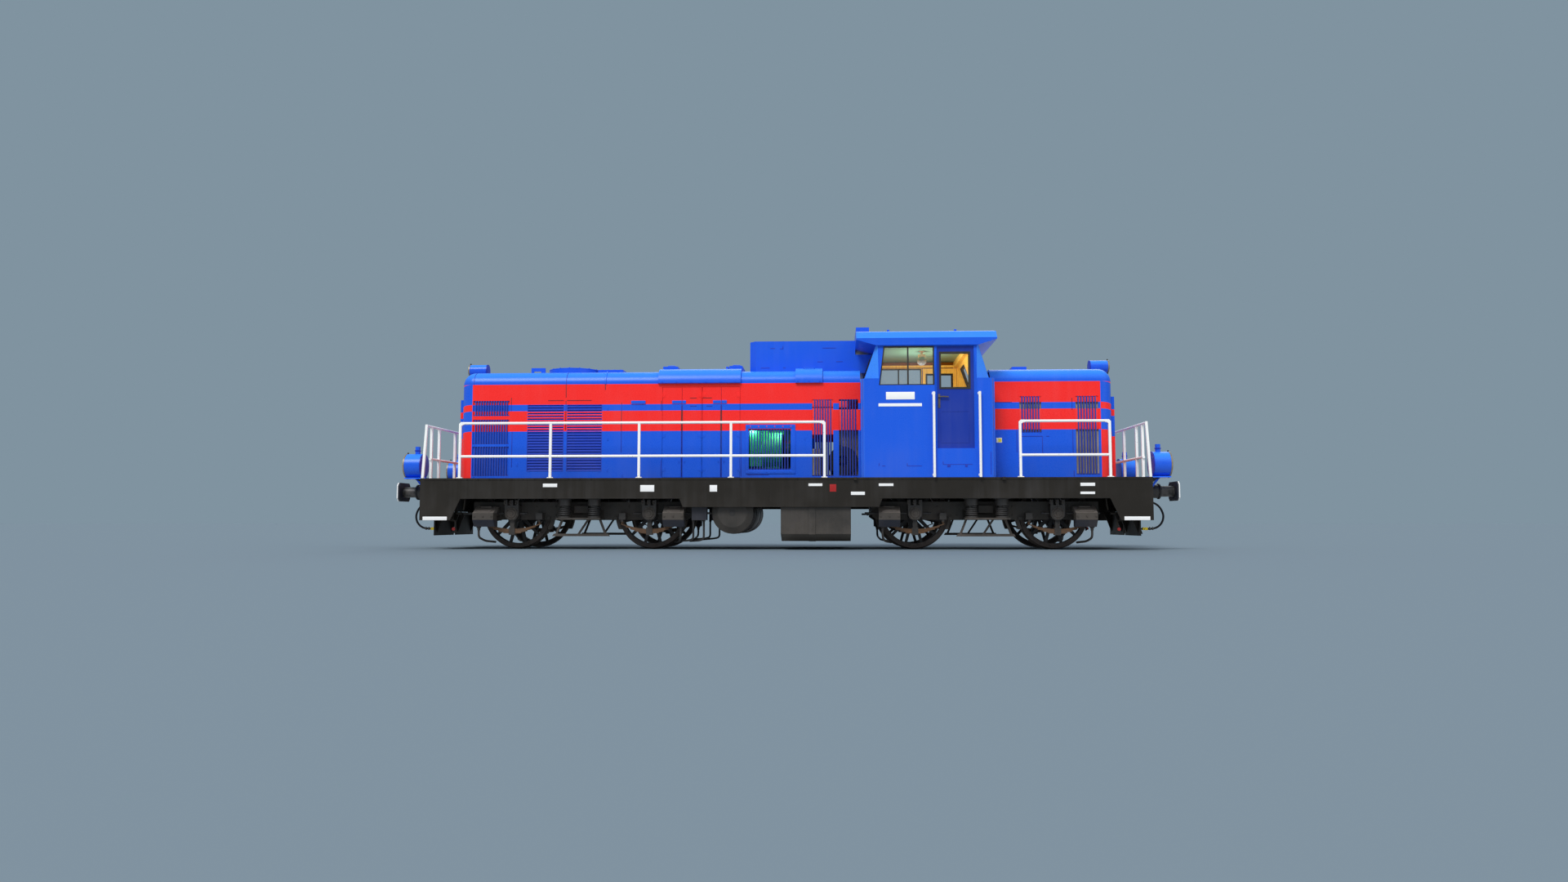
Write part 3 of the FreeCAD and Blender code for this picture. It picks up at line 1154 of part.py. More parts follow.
def grab_rails():
    y, half = HALF_WIDTH + GRAB_OUT, GRAB_FOOT_HALF
    pieces = []
    for x in GRAB_X:
        pieces.append(rod((x, y, DECK_TOP), (x, y, GRAB_TOP), RAIL_R))
        pieces += [box(x - half, x + half, HALF_WIDTH, y, z - half, z + half) for z in GRAB_FEET]
    return pieces


END_POSTS = (0.0, 830.0, -830.0, 1210.0, -1210.0)
MID_RAIL_HALF = 1260.0


def end_rails():
    """The railing across an end of the deck: upright posts, and a leaning one at each corner."""
    half = POST / 2
    pieces = [rod((END_RAIL_X, -RAIL_Y, END_RAIL_TOP), (END_RAIL_X, RAIL_Y, END_RAIL_TOP), RAIL_R),
              rod((END_RAIL_X, -MID_RAIL_HALF, END_RAIL_MID), (END_RAIL_X, MID_RAIL_HALF, END_RAIL_MID),
                  RAIL_R)]
    pieces += [box(END_RAIL_X - half, END_RAIL_X + half, y - half, y + half, DECK_TOP, END_RAIL_TOP)
               for y in END_POSTS]
    foot, head = HALF_FRAME - half - 2, END_RAIL_X
    corner = plate_xz(((foot - half, DECK_TOP), (foot + half, DECK_TOP), (head + half, END_RAIL_TOP + RAIL_R),
                       (head - half, END_RAIL_TOP + RAIL_R)), RAIL_Y - half, RAIL_Y + half)
    return fused(pieces + both_sides([corner]))


right_rails = [fused(side_rails()), fused(grab_rails())]
save("handrails_right", right_rails)
save("handrails_left", [mirror_y(s) for s in right_rails])
save("end_railings", both_ends([end_rails()]))
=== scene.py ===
import math

import bmesh
import bpy
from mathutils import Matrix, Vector


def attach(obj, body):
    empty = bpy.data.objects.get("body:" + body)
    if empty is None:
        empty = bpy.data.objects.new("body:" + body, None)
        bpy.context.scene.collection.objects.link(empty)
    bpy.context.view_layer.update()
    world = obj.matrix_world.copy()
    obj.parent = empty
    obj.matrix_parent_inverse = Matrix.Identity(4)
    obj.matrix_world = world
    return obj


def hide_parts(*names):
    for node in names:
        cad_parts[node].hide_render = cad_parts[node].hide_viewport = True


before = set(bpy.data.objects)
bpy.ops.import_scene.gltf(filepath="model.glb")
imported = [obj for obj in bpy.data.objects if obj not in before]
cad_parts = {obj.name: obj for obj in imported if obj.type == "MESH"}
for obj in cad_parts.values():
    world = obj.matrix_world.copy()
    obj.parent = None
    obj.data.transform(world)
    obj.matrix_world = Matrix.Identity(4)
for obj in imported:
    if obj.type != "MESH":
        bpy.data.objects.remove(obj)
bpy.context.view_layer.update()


# The view
# The camera stands low and far back at the left side of the locomotive, a little right of its middle,
# and looks up slightly, so that the whole length shows between the buffers.
camera = bpy.data.objects.new("camera", bpy.data.cameras.new("camera"))
bpy.context.scene.collection.objects.link(camera)
camera.data.sensor_width = 36.0
camera.data.lens = 24.44
camera.data.clip_end = 1000.0
camera.location = (0.984, -20.455, 0.484)
camera.rotation_euler = (math.radians(90 + 4.39), 0, math.radians(2.78))
bpy.context.scene.camera = camera


# Brake hoses
# A black rubber hose of wrapped and cured plies hangs from its cock under each buffer beam. Its cast
# coupling head rests in the holder on the plough, and a steel band clamps the rubber at both ends.
HOSE_Y = -0.4
HOSE_D = 0.038
HOSE_ROUTE = (
    (6.610, 0.0, 0.884),
    (6.790, 0.0, 0.884),
    (6.954, 0.006, 0.806),
    (7.036, 0.011, 0.650),
    (7.024, 0.012, 0.520),
    (6.960, 0.009, 0.427),
    (6.857, 0.004, 0.372),
    (6.741, 0.004, 0.372),
)


class Value:
    """A number, colour or direction in a recipe; a sum on it adds the node that works it out."""

    def __init__(self, recipe, socket):
        self.recipe = recipe
        self.socket = socket

    def sum(self, how, *parts):
        return self.recipe.node("ShaderNodeMath", {"operation": how}, dict(enumerate(parts)))

    def __add__(self, other):
        return self.sum("ADD", self, other)

    def __sub__(self, other):
        return self.sum("SUBTRACT", self, other)

    def __rsub__(self, other):
        return self.sum("SUBTRACT", other, self)

    def __mul__(self, other):
        return self.sum("MULTIPLY", self, other)

    def __truediv__(self, other):
        return self.sum("DIVIDE", self, other)

    def __gt__(self, other):
        return self.sum("GREATER_THAN", self, other)

    def __lt__(self, other):
        return self.sum("LESS_THAN", self, other)

    def __abs__(self):
        return self.sum("ABSOLUTE", self)

    __radd__ = __add__
    __rmul__ = __mul__


class Recipe:
    """A tree of nodes, for a finish or for growing a shape, and the one way to add to it."""

    def __init__(self, tree):
        self.tree = tree

    def node(self, kind, settings=None, inputs=None, out=0):
        made = self.tree.nodes.new(kind)
        for name, value in (settings or {}).items():
            setattr(made, name, value)
        for socket, value in (inputs or {}).items():
            if isinstance(value, Value):
                self.tree.links.new(value.socket, made.inputs[socket])
            else:
                made.inputs[socket].default_value = value
        return Value(self, made.outputs[out])


def colour(code):
    """Red, green and blue light from a colour card's six-digit code."""
    parts = [int(code[i:i + 2], 16) / 255 for i in (0, 2, 4)]
    return tuple(p / 12.92 if p < 0.04045 else ((p + 0.055) / 1.055) ** 2.4 for p in parts) + (1.0,)


class Finish(Recipe):
    """One paint, metal, rubber or glass."""

    def __init__(self, name, **plain):
        self.material = bpy.data.materials.new(name)
        self.material.use_nodes = True
        super().__init__(self.material.node_tree)
        self.surface = self.tree.nodes["Principled BSDF"]
        for socket, value in plain.items():
            self.surface.inputs[socket.replace("_", " ")].default_value = value
        self.spot = self.node("ShaderNodeTexCoord", out="Object")
        apart = self.node("ShaderNodeSeparateXYZ", inputs={0: self.spot})
        self.x, self.y, self.z = (Value(self, s) for s in apart.socket.node.outputs)

    def feed(self, **varying):
        for socket, value in varying.items():
            self.tree.links.new(value.socket, self.surface.inputs[socket.replace("_", " ")])

    def mottle(self, scale, detail=3.0, stretch=(1.0, 1.0, 1.0)):
        place = self.node("ShaderNodeVectorMath", {"operation": "MULTIPLY"}, {0: self.spot, 1: stretch})
        return self.node("ShaderNodeTexNoise", inputs={"Vector": place, "Scale": scale, "Detail": detail})

    def ease(self, value, low, high):
        return self.node("ShaderNodeMapRange", inputs={0: value, 1: low, 2: high})

    def between(self, value, low, high):
        return (value > low) * (value < high)

    def mix(self, first, second, share):
        return self.node("ShaderNodeMix", {"data_type": "RGBA"}, {0: share, 6: first, 7: second}, out=2)

    def upward(self):
        """How far a face looks up: 0 on a wall, 1 on a flat top."""
        facing = Value(self, self.spot.socket.node.outputs["Normal"])
        return Value(self, self.node("ShaderNodeSeparateXYZ", inputs={0: facing}).socket.node.outputs[2])

    def relief(self, height, depth):
        return self.node("ShaderNodeBump", inputs={"Height": height, "Distance": depth, "Strength": 1.0})


def around(count, shift=0.0):
    """The angles of a number of places spread evenly round a circle."""
    return [2 * math.pi * (k + shift) / count for k in range(count)]


def on_ring(centre, radius, turn):
    """A point on an upright circle that faces sideways."""
    x, y, z = centre
    return (x + radius * math.cos(turn), y, z + radius * math.sin(turn))


def weathered(finish, paint, gloss, dust=0.25, dust_top=1.6, ripple=0.0006):
    """Paint in service: clouded, streaked by rain and dusty low down, over the ripple of the spray gun."""
    clouds = finish.mottle(1.7)
    streaks = finish.mottle(11.0, 2.0, (1.0, 1.0, 0.07))
    grain = finish.mottle(70.0, 4.0)
    low = finish.ease(finish.z, dust_top, 0.0)
    faded = finish.mix(paint, (0.55, 0.56, 0.6, 1.0), finish.ease(clouds * streaks, 0.2, 0.6) * 0.03)
    cover = finish.ease(clouds + grain * 0.5, 0.62, 1.0) * low * dust
    finish.feed(
        Base_Color=finish.mix(faded, (0.15, 0.12, 0.095, 1.0), cover),
        Roughness=grain * 0.16 + cover * 0.8 + gloss,
        Normal=finish.relief(grain, ripple),
    )
    return finish


class Piece:
    """A mesh put together from blocks, plates, turned parts and pipes, then fixed to its body."""

    def __init__(self):
        self.mesh = bmesh.new()

    def shell(self, rings, closed=False, caps=True):
        """Rings of points joined into a skin, with flat ends unless the rings close on themselves."""
        made = [[self.mesh.verts.new(p) for p in ring] for ring in rings]
        count = len(made[0])
        pairs = list(zip(made, made[1:] + made[:1])) if closed else list(zip(made, made[1:]))
        for ring, after in pairs:
            for i in range(count):
                j = (i + 1) % count
                self.mesh.faces.new((ring[i], ring[j], after[j], after[i]))
        if caps and not closed:
            self.mesh.faces.new(made[0])
            self.mesh.faces.new(made[-1][::-1])
        return [v for ring in made for v in ring]

    def soften(self, corners, radius):
        if radius:
            edges = list({e for v in corners for e in v.link_edges})
            bmesh.ops.bevel(
                self.mesh, geom=edges, offset=radius, segments=2, profile=0.6, affect="EDGES",
                clamp_overlap=True,
            )

    def block(self, low, high, edge=0.004):
        x, y, z = (sorted((a, b)) for a, b in zip(low, high))
        ring = ((x[0], y[0]), (x[1], y[0]), (x[1], y[1]), (x[0], y[1]))
        self.soften(self.shell([[(*p, h) for p in ring] for h in z]), edge)

    def lay(self, side, face, along, up, proud, edge=0.001, sink=0.0):
        """A flat bar on an upright side face: its ends along and up, how far it stands out and sinks in."""
        low = (along[0], side * (face - sink), up[0])
        high = (along[1], side * (face + proud), up[1])
        self.block(low, high, edge)

    def plate(self, outline, axis, start, end, edge=0.003):
        """An outline on the two other axes, cut from plate that lies along the named one."""
        place = {
            "x": lambda a, b, h: (h, a, b),
            "y": lambda a, b, h: (a, h, b),
            "z": lambda a, b, h: (a, b, h),
        }
        self.soften(self.shell([[place[axis](*p, h) for p in outline] for h in (start, end)]), edge)

    def turned(self, profile, centre, axis, sides=32, closed=False, way=1):
        """A profile of (radius, distance along the axis) turned about that axis; way -1 points it back."""
        spin = {
            "x": lambda c, s, h: (h, c, s),
            "y": lambda c, s, h: (s, h, c),
            "z": lambda c, s, h: (c, s, h),
        }
        at = Vector(centre)
        rings = [
            [
                at + Vector(spin[axis](radius * math.cos(t), radius * math.sin(t), way * along))
                for t in around(sides)
            ]
            for radius, along in profile
        ]
        made = self.shell(rings, closed=closed)
        bmesh.ops.remove_doubles(self.mesh, verts=made, dist=1e-6)

    def disc(self, radius, depth, centre, axis, sides=32, way=1):
        """A flat round plate or short bar that starts at its centre."""
        outline = [(0.0, 0.0), (radius, 0.0), (radius, depth), (0.0, depth)]
        self.turned(outline, centre, axis, sides, way=way)

    def pipe(self, route, radius, bend=0.0, sides=12, steps=5):
        """A round bar or pipe along a route whose corners are bent to a radius."""
        points = [Vector(p) for p in route]
        line = [points[0]]
        for before, corner, after in zip(points, points[1:], points[2:]):
            reach = min(bend, (corner - before).length / 2, (after - corner).length / 2)
            first = corner + (before - corner).normalized() * reach
            last = corner + (after - corner).normalized() * reach
            for k in range(steps + 1 if reach else 1):
                t = k / steps if reach else 0.5
                line.append(first.lerp(corner, t).lerp(corner.lerp(last, t), t))
        line.append(points[-1])
        along = (line[1] - line[0]).normalized()
        across = along.orthogonal().normalized()
        rings = []
        for i, p in enumerate(line):
            heading = (line[min(i + 1, len(line) - 1)] - line[max(i - 1, 0)]).normalized()
            across = (along.rotation_difference(heading) @ across).normalized()
            along = heading
            up = along.cross(across)
            rings.append([p + (across * math.cos(t) + up * math.sin(t)) * radius for t in around(sides)])
        self.shell(rings)

    def fix(self, name, body, slot, finish, smooth=32):
        bmesh.ops.recalc_face_normals(self.mesh, faces=self.mesh.faces)
        mesh = bpy.data.meshes.new(name)
        self.mesh.to_mesh(mesh)
        self.mesh.free()
        mesh.materials.append(finish.material)
        mesh.shade_smooth()
        mesh.set_sharp_from_angle(angle=math.radians(smooth))
        made = bpy.data.objects.new(name, mesh)
        bpy.context.scene.collection.objects.link(made)
        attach(made, body)
        return made


def dress(finish, *nodes):
    """The CAD nodes keep their shape and take a finish."""
    for name in nodes:
        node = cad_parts[name]
        node.data.materials.clear()
        node.data.materials.append(finish.material)


rubber = Finish("hose rubber", Specular_IOR_Level=0.35)
wrap = rubber.node(
    "ShaderNodeTexWave", {"wave_type": "BANDS", "bands_direction": "DIAGONAL"},
    {"Vector": rubber.spot, "Scale": 55.0, "Distortion": 1.2, "Detail": 1.0}, out=1,
)
chalk = rubber.ease(rubber.mottle(38.0, 5.0), 0.5, 0.75)
rubber.feed(
    Base_Color=rubber.mix(colour("15151a"), colour("3a3836"), chalk * 0.35),
    Roughness=chalk * 0.25 + 0.5,
    Normal=rubber.relief(wrap + chalk * 0.4, 0.0008),
)
band_steel = weathered(Finish("hose band steel", Metallic=0.9), colour("6b6660"), 0.35)
head_paint = Finish("coupling head yellow")
chipped = head_paint.ease(head_paint.mottle(34.0, 5.0), 0.6, 0.66)
weathered(head_paint, head_paint.mix(colour("ffdf12"), colour("4a3c20"), chipped * 0.7), 0.35, dust=0.15)

BAND_R = 0.0255
BAND_W = 0.034
BAND_SET = 0.03

for end, sign in (("front", -1), ("rear", 1)):
    line = bpy.data.curves.new("brake_hose_%s_line" % end, "CURVE")
    line.dimensions = "3D"
    spline = line.splines.new("NURBS")
    spline.points.add(len(HOSE_ROUTE) - 1)
    for point, (x, shift, z) in zip(spline.points, HOSE_ROUTE):
        point.co = (sign * x, HOSE_Y - shift, z, 1.0)
    spline.order_u = 3
    spline.use_endpoint_u = True
    line.resolution_u = 12
    hose = bpy.data.objects.new("hose_" + end, line)
    bpy.context.scene.collection.objects.link(hose)
    bare = bpy.data.meshes.new_from_object(hose)
    run = [v.co.copy() for v in bare.vertices]
    bpy.data.meshes.remove(bare)
    line.bevel_depth = HOSE_D / 2
    line.bevel_resolution = 6
    line.use_fill_caps = True
    line.materials.append(rubber.material)
    bands = Piece()
    for a, b in ((run[0], run[2]), (run[-1], run[-3])):
        way = (b - a).normalized()
        for k in (0, 1):
            begin = a + way * (BAND_SET + k * 1.6 * BAND_W)
            bands.pipe((begin, begin + way * BAND_W * 0.5), BAND_R, sides=20)
            bolt = begin + way * BAND_W * 0.25 + Vector((0, 0, BAND_R + 0.004))
            bands.block(bolt - Vector((0.006, 0.010, 0.008)), bolt + Vector((0.006, 0.010, 0.006)), 0.002)
    bands = bands.fix("hose_bands_" + end, "root", "hose_head_paint", band_steel)
    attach(hose, "root")
    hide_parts("brake_hose_" + end)
dress(head_paint, "hose_head_front", "hose_head_rear")


# Wheelsets
# Four cast spoked wheelsets with shrunk-on tyres, pressed on their axles. The tyres are held by a ring of
# studs, the treads are worn bright and everything inboard of them is dark with brake dust and oil.
PIVOT = 3.675
HALF_BASE = 1.2675
AXLE_Z = 0.653
WHEEL_FACE = 0.815
STUD_RING = 0.575
STUDS = 24
# profile of the ring shrunk on beside each hub
HUB_COLLAR = ((0.0885, 0.0), (0.118, 0.0), (0.118, 0.014), (0.104, 0.022), (0.0885, 0.022))


class Growth(Recipe):
    """A recipe that repeats or sweeps a shape, with named sizes."""

    def __init__(self, name, **sizes):
        super().__init__(bpy.data.node_groups.new(name, "GeometryNodeTree"))
        ports = self.tree.interface
        ports.new_socket("Start", in_out="INPUT", socket_type="NodeSocketGeometry")
        for size, value in sizes.items():
            kind = "NodeSocketInt" if isinstance(value, int) else "NodeSocketFloat"
            ports.new_socket(size, in_out="INPUT", socket_type=kind).default_value = value
        ports.new_socket("Finish", in_out="INPUT", socket_type="NodeSocketMaterial")
        ports.new_socket("Grown", in_out="OUTPUT", socket_type="NodeSocketGeometry")
        begin = self.node("NodeGroupInput").socket.node
        self.given = {s.name: Value(self, s) for s in begin.outputs if s.name}

    def finish(self, shape):
        solid = self.node("GeometryNodeRealizeInstances", inputs={0: shape})
        coat = {"Geometry": solid, "Material": self.given["Finish"]}
        painted = self.node("GeometryNodeSetMaterial", inputs=coat)
        end = self.tree.nodes.new("NodeGroupOutput")
        self.tree.links.new(painted.socket, end.inputs[0])

    def grow(self, name, start, body, slot, finish, **sizes):
        seed = bpy.data.objects.new(name + "_start", start)
        bpy.context.scene.collection.objects.link(seed)
        step = seed.modifiers.new("growth", "NODES")
        step.node_group = self.tree
        sizes["Finish"] = finish.material
        for port in self.tree.interface.items_tree:
            if port.in_out == "INPUT" and port.name in sizes:
                step[port.identifier] = sizes[port.name]
        graph = bpy.context.evaluated_depsgraph_get()
        mesh = bpy.data.meshes.new_from_object(seed.evaluated_get(graph), depsgraph=graph)
        seed.modifiers.clear()
        bpy.data.objects.remove(seed)
        made = bpy.data.objects.new(name, mesh)
        bpy.context.scene.collection.objects.link(made)
        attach(made, body)
        return made


def spots(places):
    """Start points, each with the direction that it faces."""
    mesh = bpy.data.meshes.new("spots")
    mesh.from_pydata([p for p, _ in places], [], [])
    facing = mesh.attributes.new("facing", "FLOAT_VECTOR", "POINT")
    for item, (_, way) in zip(facing.data, places):
        item.vector = way
    return mesh


def bolt_growth():
    """A six-sided head on a round washer at each start point."""
    made = Growth("bolt_heads", Head=0.012, Height=0.01)
    head, height = made.given["Head"], made.given["Height"]
    top = made.node("GeometryNodeMeshCone", inputs={
        "Vertices": 6, "Radius Top": head * 0.86, "Radius Bottom": head, "Depth": height,
    })
    washer = made.node("GeometryNodeMeshCylinder", inputs={
        "Vertices": 12, "Radius": head * 1.45, "Depth": height * 0.5,
    })
    both = made.node("GeometryNodeJoinGeometry")
    for part in (washer, top):
        made.tree.links.new(part.socket, both.socket.node.inputs[0])
    way = made.node("GeometryNodeInputNamedAttribute", {"data_type": "FLOAT_VECTOR"}, {"Name": "facing"})
    turn = made.node("FunctionNodeAlignRotationToVector", {"axis": "Z"}, {"Vector": way})
    slack = made.node("FunctionNodeRandomValue", inputs={2: 0.0, 3: 1.0, "Seed": 7}, out=1)
    spun = made.node("ShaderNodeCombineXYZ", inputs={2: slack})
    turn = made.node("FunctionNodeRotateRotation", {"rotation_space": "LOCAL"}, {0: turn, 1: spun})
    put = made.node("GeometryNodeInstanceOnPoints", inputs={
        "Points": made.given["Start"], "Instance": both, "Rotation": turn,
    })
    made.finish(put)
    return made


bolt_heads = bolt_growth()


def bolt(name, places, body, slot, finish, head, height):
    """Bolts or rivets of one size, each at its place and facing its way."""
    bolt_heads.grow(name, spots(places), body, slot, finish, Head=head, Height=height)


wheel_iron = Finish("wheel iron")
off_axle = abs(abs(abs(wheel_iron.x) - PIVOT) - HALF_BASE)
rise = wheel_iron.z - AXLE_Z
reach = (off_axle * off_axle + rise * rise).sum("SQRT", off_axle * off_axle + rise * rise)
tyre = wheel_iron.ease(reach, 0.546, 0.550)
tread = wheel_iron.ease(reach, 0.622, 0.627)
oil = wheel_iron.ease(wheel_iron.mottle(9.0, 4.0) - reach * 0.7, 0.1, 0.4)
iron = wheel_iron.mix(colour("1d1b1d"), colour("352b26"), tyre)
iron = wheel_iron.mix(iron, colour("58514c"), tread)
wheel_grain = wheel_iron.mottle(55.0, 5.0)
iron = wheel_iron.mix(iron, colour("4a3628"), wheel_iron.ease(wheel_grain, 0.52, 0.8) * 0.5)
wheel_iron.feed(
    Base_Color=wheel_iron.mix(iron, colour("101012"), oil * 0.7),
    Metallic=tread * 0.8,
    Roughness=0.62 - tread * 0.3 - oil * 0.25 + wheel_grain * 0.1,
    Normal=wheel_iron.relief(wheel_grain, 0.0015),
)
WHEELSETS = (
    ("wheelset_1", -PIVOT - HALF_BASE), ("wheelset_2", -PIVOT + HALF_BASE),
    ("wheelset_3", PIVOT - HALF_BASE), ("wheelset_4", PIVOT + HALF_BASE),
)
for body, axle_x in WHEELSETS:
    dress(wheel_iron, body)
    studs = [
        (on_ring((axle_x, side * (WHEEL_FACE + 0.003), AXLE_Z), STUD_RING, turn), (0, side, 0))
        for turn in around(STUDS, 0.5) for side in (-1, 1)
    ]
    bolt(body + "_studs", studs, body, "wheel_steel", wheel_iron, 0.012, 0.012)
    hub = Piece()
    for side in (-1, 1):
        face = side * (WHEEL_FACE + 0.012)
        hub.turned(HUB_COLLAR, (axle_x, face, AXLE_Z), "y", 40, closed=True, way=side)
    hub.fix(body + "_hub_rings", body, "wheel_steel", wheel_iron)


# Bogie frames
# Each four-wheeled bogie has two plate side frames, shelves for the bolster springs and four sand boxes
# with sloping lids, all welded and painted black; the lids carry painted light and the box bottoms painted
# shade. Bolted covers close the cast axleboxes.
BOGIES = (("front", -PIVOT), ("rear", PIVOT))
SAND_BOX = (1.545, 1.925)
SAND_PIPE_Y = 1.24
COVER_FACE = 1.198
COVER_RING = 0.097
# profile of an axlebox cover
COVER = (
    (0.0, 0.0), (0.112, 0.0), (0.112, 0.010), (0.082, 0.014), (0.076, 0.028), (0.040, 0.032), (0.036, 0.040),
    (0.0, 0.040),
)
PIPE_BELL = ((0.0, 0.0), (0.046, 0.0), (0.046, -0.014), (0.028, -0.030), (0.026, -0.070), (0.0, -0.070))
FRAME_FACE = 1.013
# lengths of the air pipe and its unions, from the pivot
LINE_Y = 1.16
LINE_Z = 0.655
AIR_LINE = ((-2.17, -1.42), (-1.12, -0.98), (0.98, 1.12), (1.42, 2.02))
UNIONS = (-2.05, -1.30, -1.05, 1.05, 1.30, 1.98)
bogie_paint = Finish("bogie paint")
from_pivot = abs(abs(bogie_paint.x) - PIVOT)
outboard = abs(bogie_paint.y) > 1.012
in_box = bogie_paint.between(from_pivot, SAND_BOX[0] - 0.01, SAND_BOX[1] + 0.01) * outboard
# The sand box lids are painted paler as painted light, and the box bottoms navy as painted shade.
painted_lid_light = in_box * (bogie_paint.z > 0.66)
under = in_box * (bogie_paint.z < 0.535)
near_axle = (abs(from_pivot - HALF_BASE) < 0.16) * (abs(bogie_paint.y) > 1.05)
coat = bogie_paint.mix(colour("2d2924"), colour("3f3933"), in_box.sum("MAXIMUM", in_box, near_axle))
coat = bogie_paint.mix(coat, colour("5f5954"), painted_lid_light)
coat = bogie_paint.mix(coat, colour("1a1f2e"), under)
weathered(bogie_paint, coat, 0.5, dust=0.55, dust_top=1.2, ripple=0.001)
dress(bogie_paint, "bogie_frame_front", "bogie_frame_rear")
black_iron = weathered(Finish("black iron"), colour("1c1b1c"), 0.45, dust=0.5, dust_top=1.0, ripple=0.001)

for end, pivot in BOGIES:
    body = "bogie_" + end
    covers = Piece()
    gear = Piece()
    heads = []
    for side in (-1, 1):
        out = (0, side, 0)
        for along in (-HALF_BASE, HALF_BASE):
            x = pivot + along
            covers.turned(COVER, (x, side * COVER_FACE, AXLE_Z), "y", 40, way=side)
            rim = (x, side * (COVER_FACE + 0.014), AXLE_Z)
            heads += [(on_ring(rim, COVER_RING, turn), out) for turn in around(6, 0.5)]
            heads += [
                ((x + bar, side * 1.203, z), out) for z in (0.835, 0.875) for bar in (-0.128, -0.024, 0.080)
            ]
        for box in (-1, 1):
            near, far = (pivot + box * e for e in SAND_BOX)
            mid = (near + far) / 2
            lid_edge = ((1.372, 0.676), (1.376, 0.681), (1.212, 0.765), (1.208, 0.760))
            covers.plate([(side * y, z) for y, z in lid_edge], "x", mid - 0.13, mid + 0.13, 0.002)
            covers.pipe(((mid - 0.1, side * 1.215, 0.771), (mid + 0.1, side * 1.215, 0.771)), 0.011)
            heads += [((x, side * 1.403, 0.60), out) for x in (mid - 0.16, mid, mid + 0.16)]
            heads += [((near - box * 0.05, side * FRAME_FACE, z), out) for z in (0.60, 0.80)]
            drop = pivot + box * (SAND_BOX[0] + 0.31)
            tip = drop - box * 0.115
            gear.pipe(
                ((drop, side * SAND_PIPE_Y, 0.44), (drop, side * SAND_PIPE_Y, 0.22),
                 (tip + box * 0.06, side * 1.02, 0.15), (tip - box * 0.06, side * 0.80, 0.128)),
                0.020, bend=0.07,
            )
            gear.turned(PIPE_BELL, (drop, side * SAND_PIPE_Y, 0.414), "z", 24)
        for x0, x1 in AIR_LINE:
            gear.pipe(((pivot + x0, side * LINE_Y, LINE_Z), (pivot + x1, side * LINE_Y, LINE_Z)), 0.019)
        for union in UNIONS:
            nut = [(pivot + union + dx, side * LINE_Y, LINE_Z) for dx in (-0.018, 0.018)]
            gear.pipe(nut, 0.028, sides=6)
        heads += [((pivot + x, side * 1.381, 0.555), out) for x in (-0.36, -0.12, 0.12, 0.36)]
        for x in (-1.93, -0.86, -0.5, 0.5, 0.86, 1.93):
            heads += [((pivot + x, side * FRAME_FACE, z), out) for z in (0.62, 0.78)]
    covers.fix(body + "_covers", body, "frame_black", bogie_paint)
    gear.fix(body + "_sand_and_air_pipes", body, "frame_black", black_iron)
    bolt(body + "_bolts", heads, body, "frame_black", bogie_paint, 0.013, 0.012)


# Springs
# Leaf springs of five brown-painted leaves, clasped by a forged buckle, hang below the axleboxes. Pairs of
# coil springs between cast cups carry the body at the middle of each bogie.
SPRING_X = 0.27
SPRING_Y = 1.25
COIL_LOW = 0.604
COIL_TOP = 0.786
COIL_R = 0.098
WIRE_R = 0.0165
# profile of the headed pin through each spring eye
EYE_PIN = (
    (0.0, 0.0), (0.024, 0.0), (0.024, 0.008), (0.016, 0.014), (0.016, 0.152), (0.024, 0.158), (0.024, 0.166),
    (0.0, 0.166),
)
leaf_paint = Finish("leaf spring paint")
off_buckle = abs(abs(abs(leaf_paint.x) - PIVOT) - HALF_BASE)
on_leaf = leaf_paint.between(leaf_paint.z, 0.25, 0.50) * (off_buckle > 0.056) * (abs(leaf_paint.y) > 1.05)
worn_edge = leaf_paint.ease(leaf_paint.mottle(26.0, 5.0, (0.35, 1.0, 1.6)), 0.52, 0.72)
leaf_brown = leaf_paint.mix(colour("50320f"), colour("8a5c34"), worn_edge * 0.5)
cup_grey = leaf_paint.mix(colour("211d1a"), colour("34302d"), leaf_paint.z > 0.55)
leaf_colour = leaf_paint.mix(cup_grey, leaf_brown, on_leaf)
weathered(leaf_paint, leaf_colour, 0.4, dust=0.3, dust_top=0.9, ripple=0.0012)
dress(leaf_paint, "bogie_springs_front", "bogie_springs_rear")

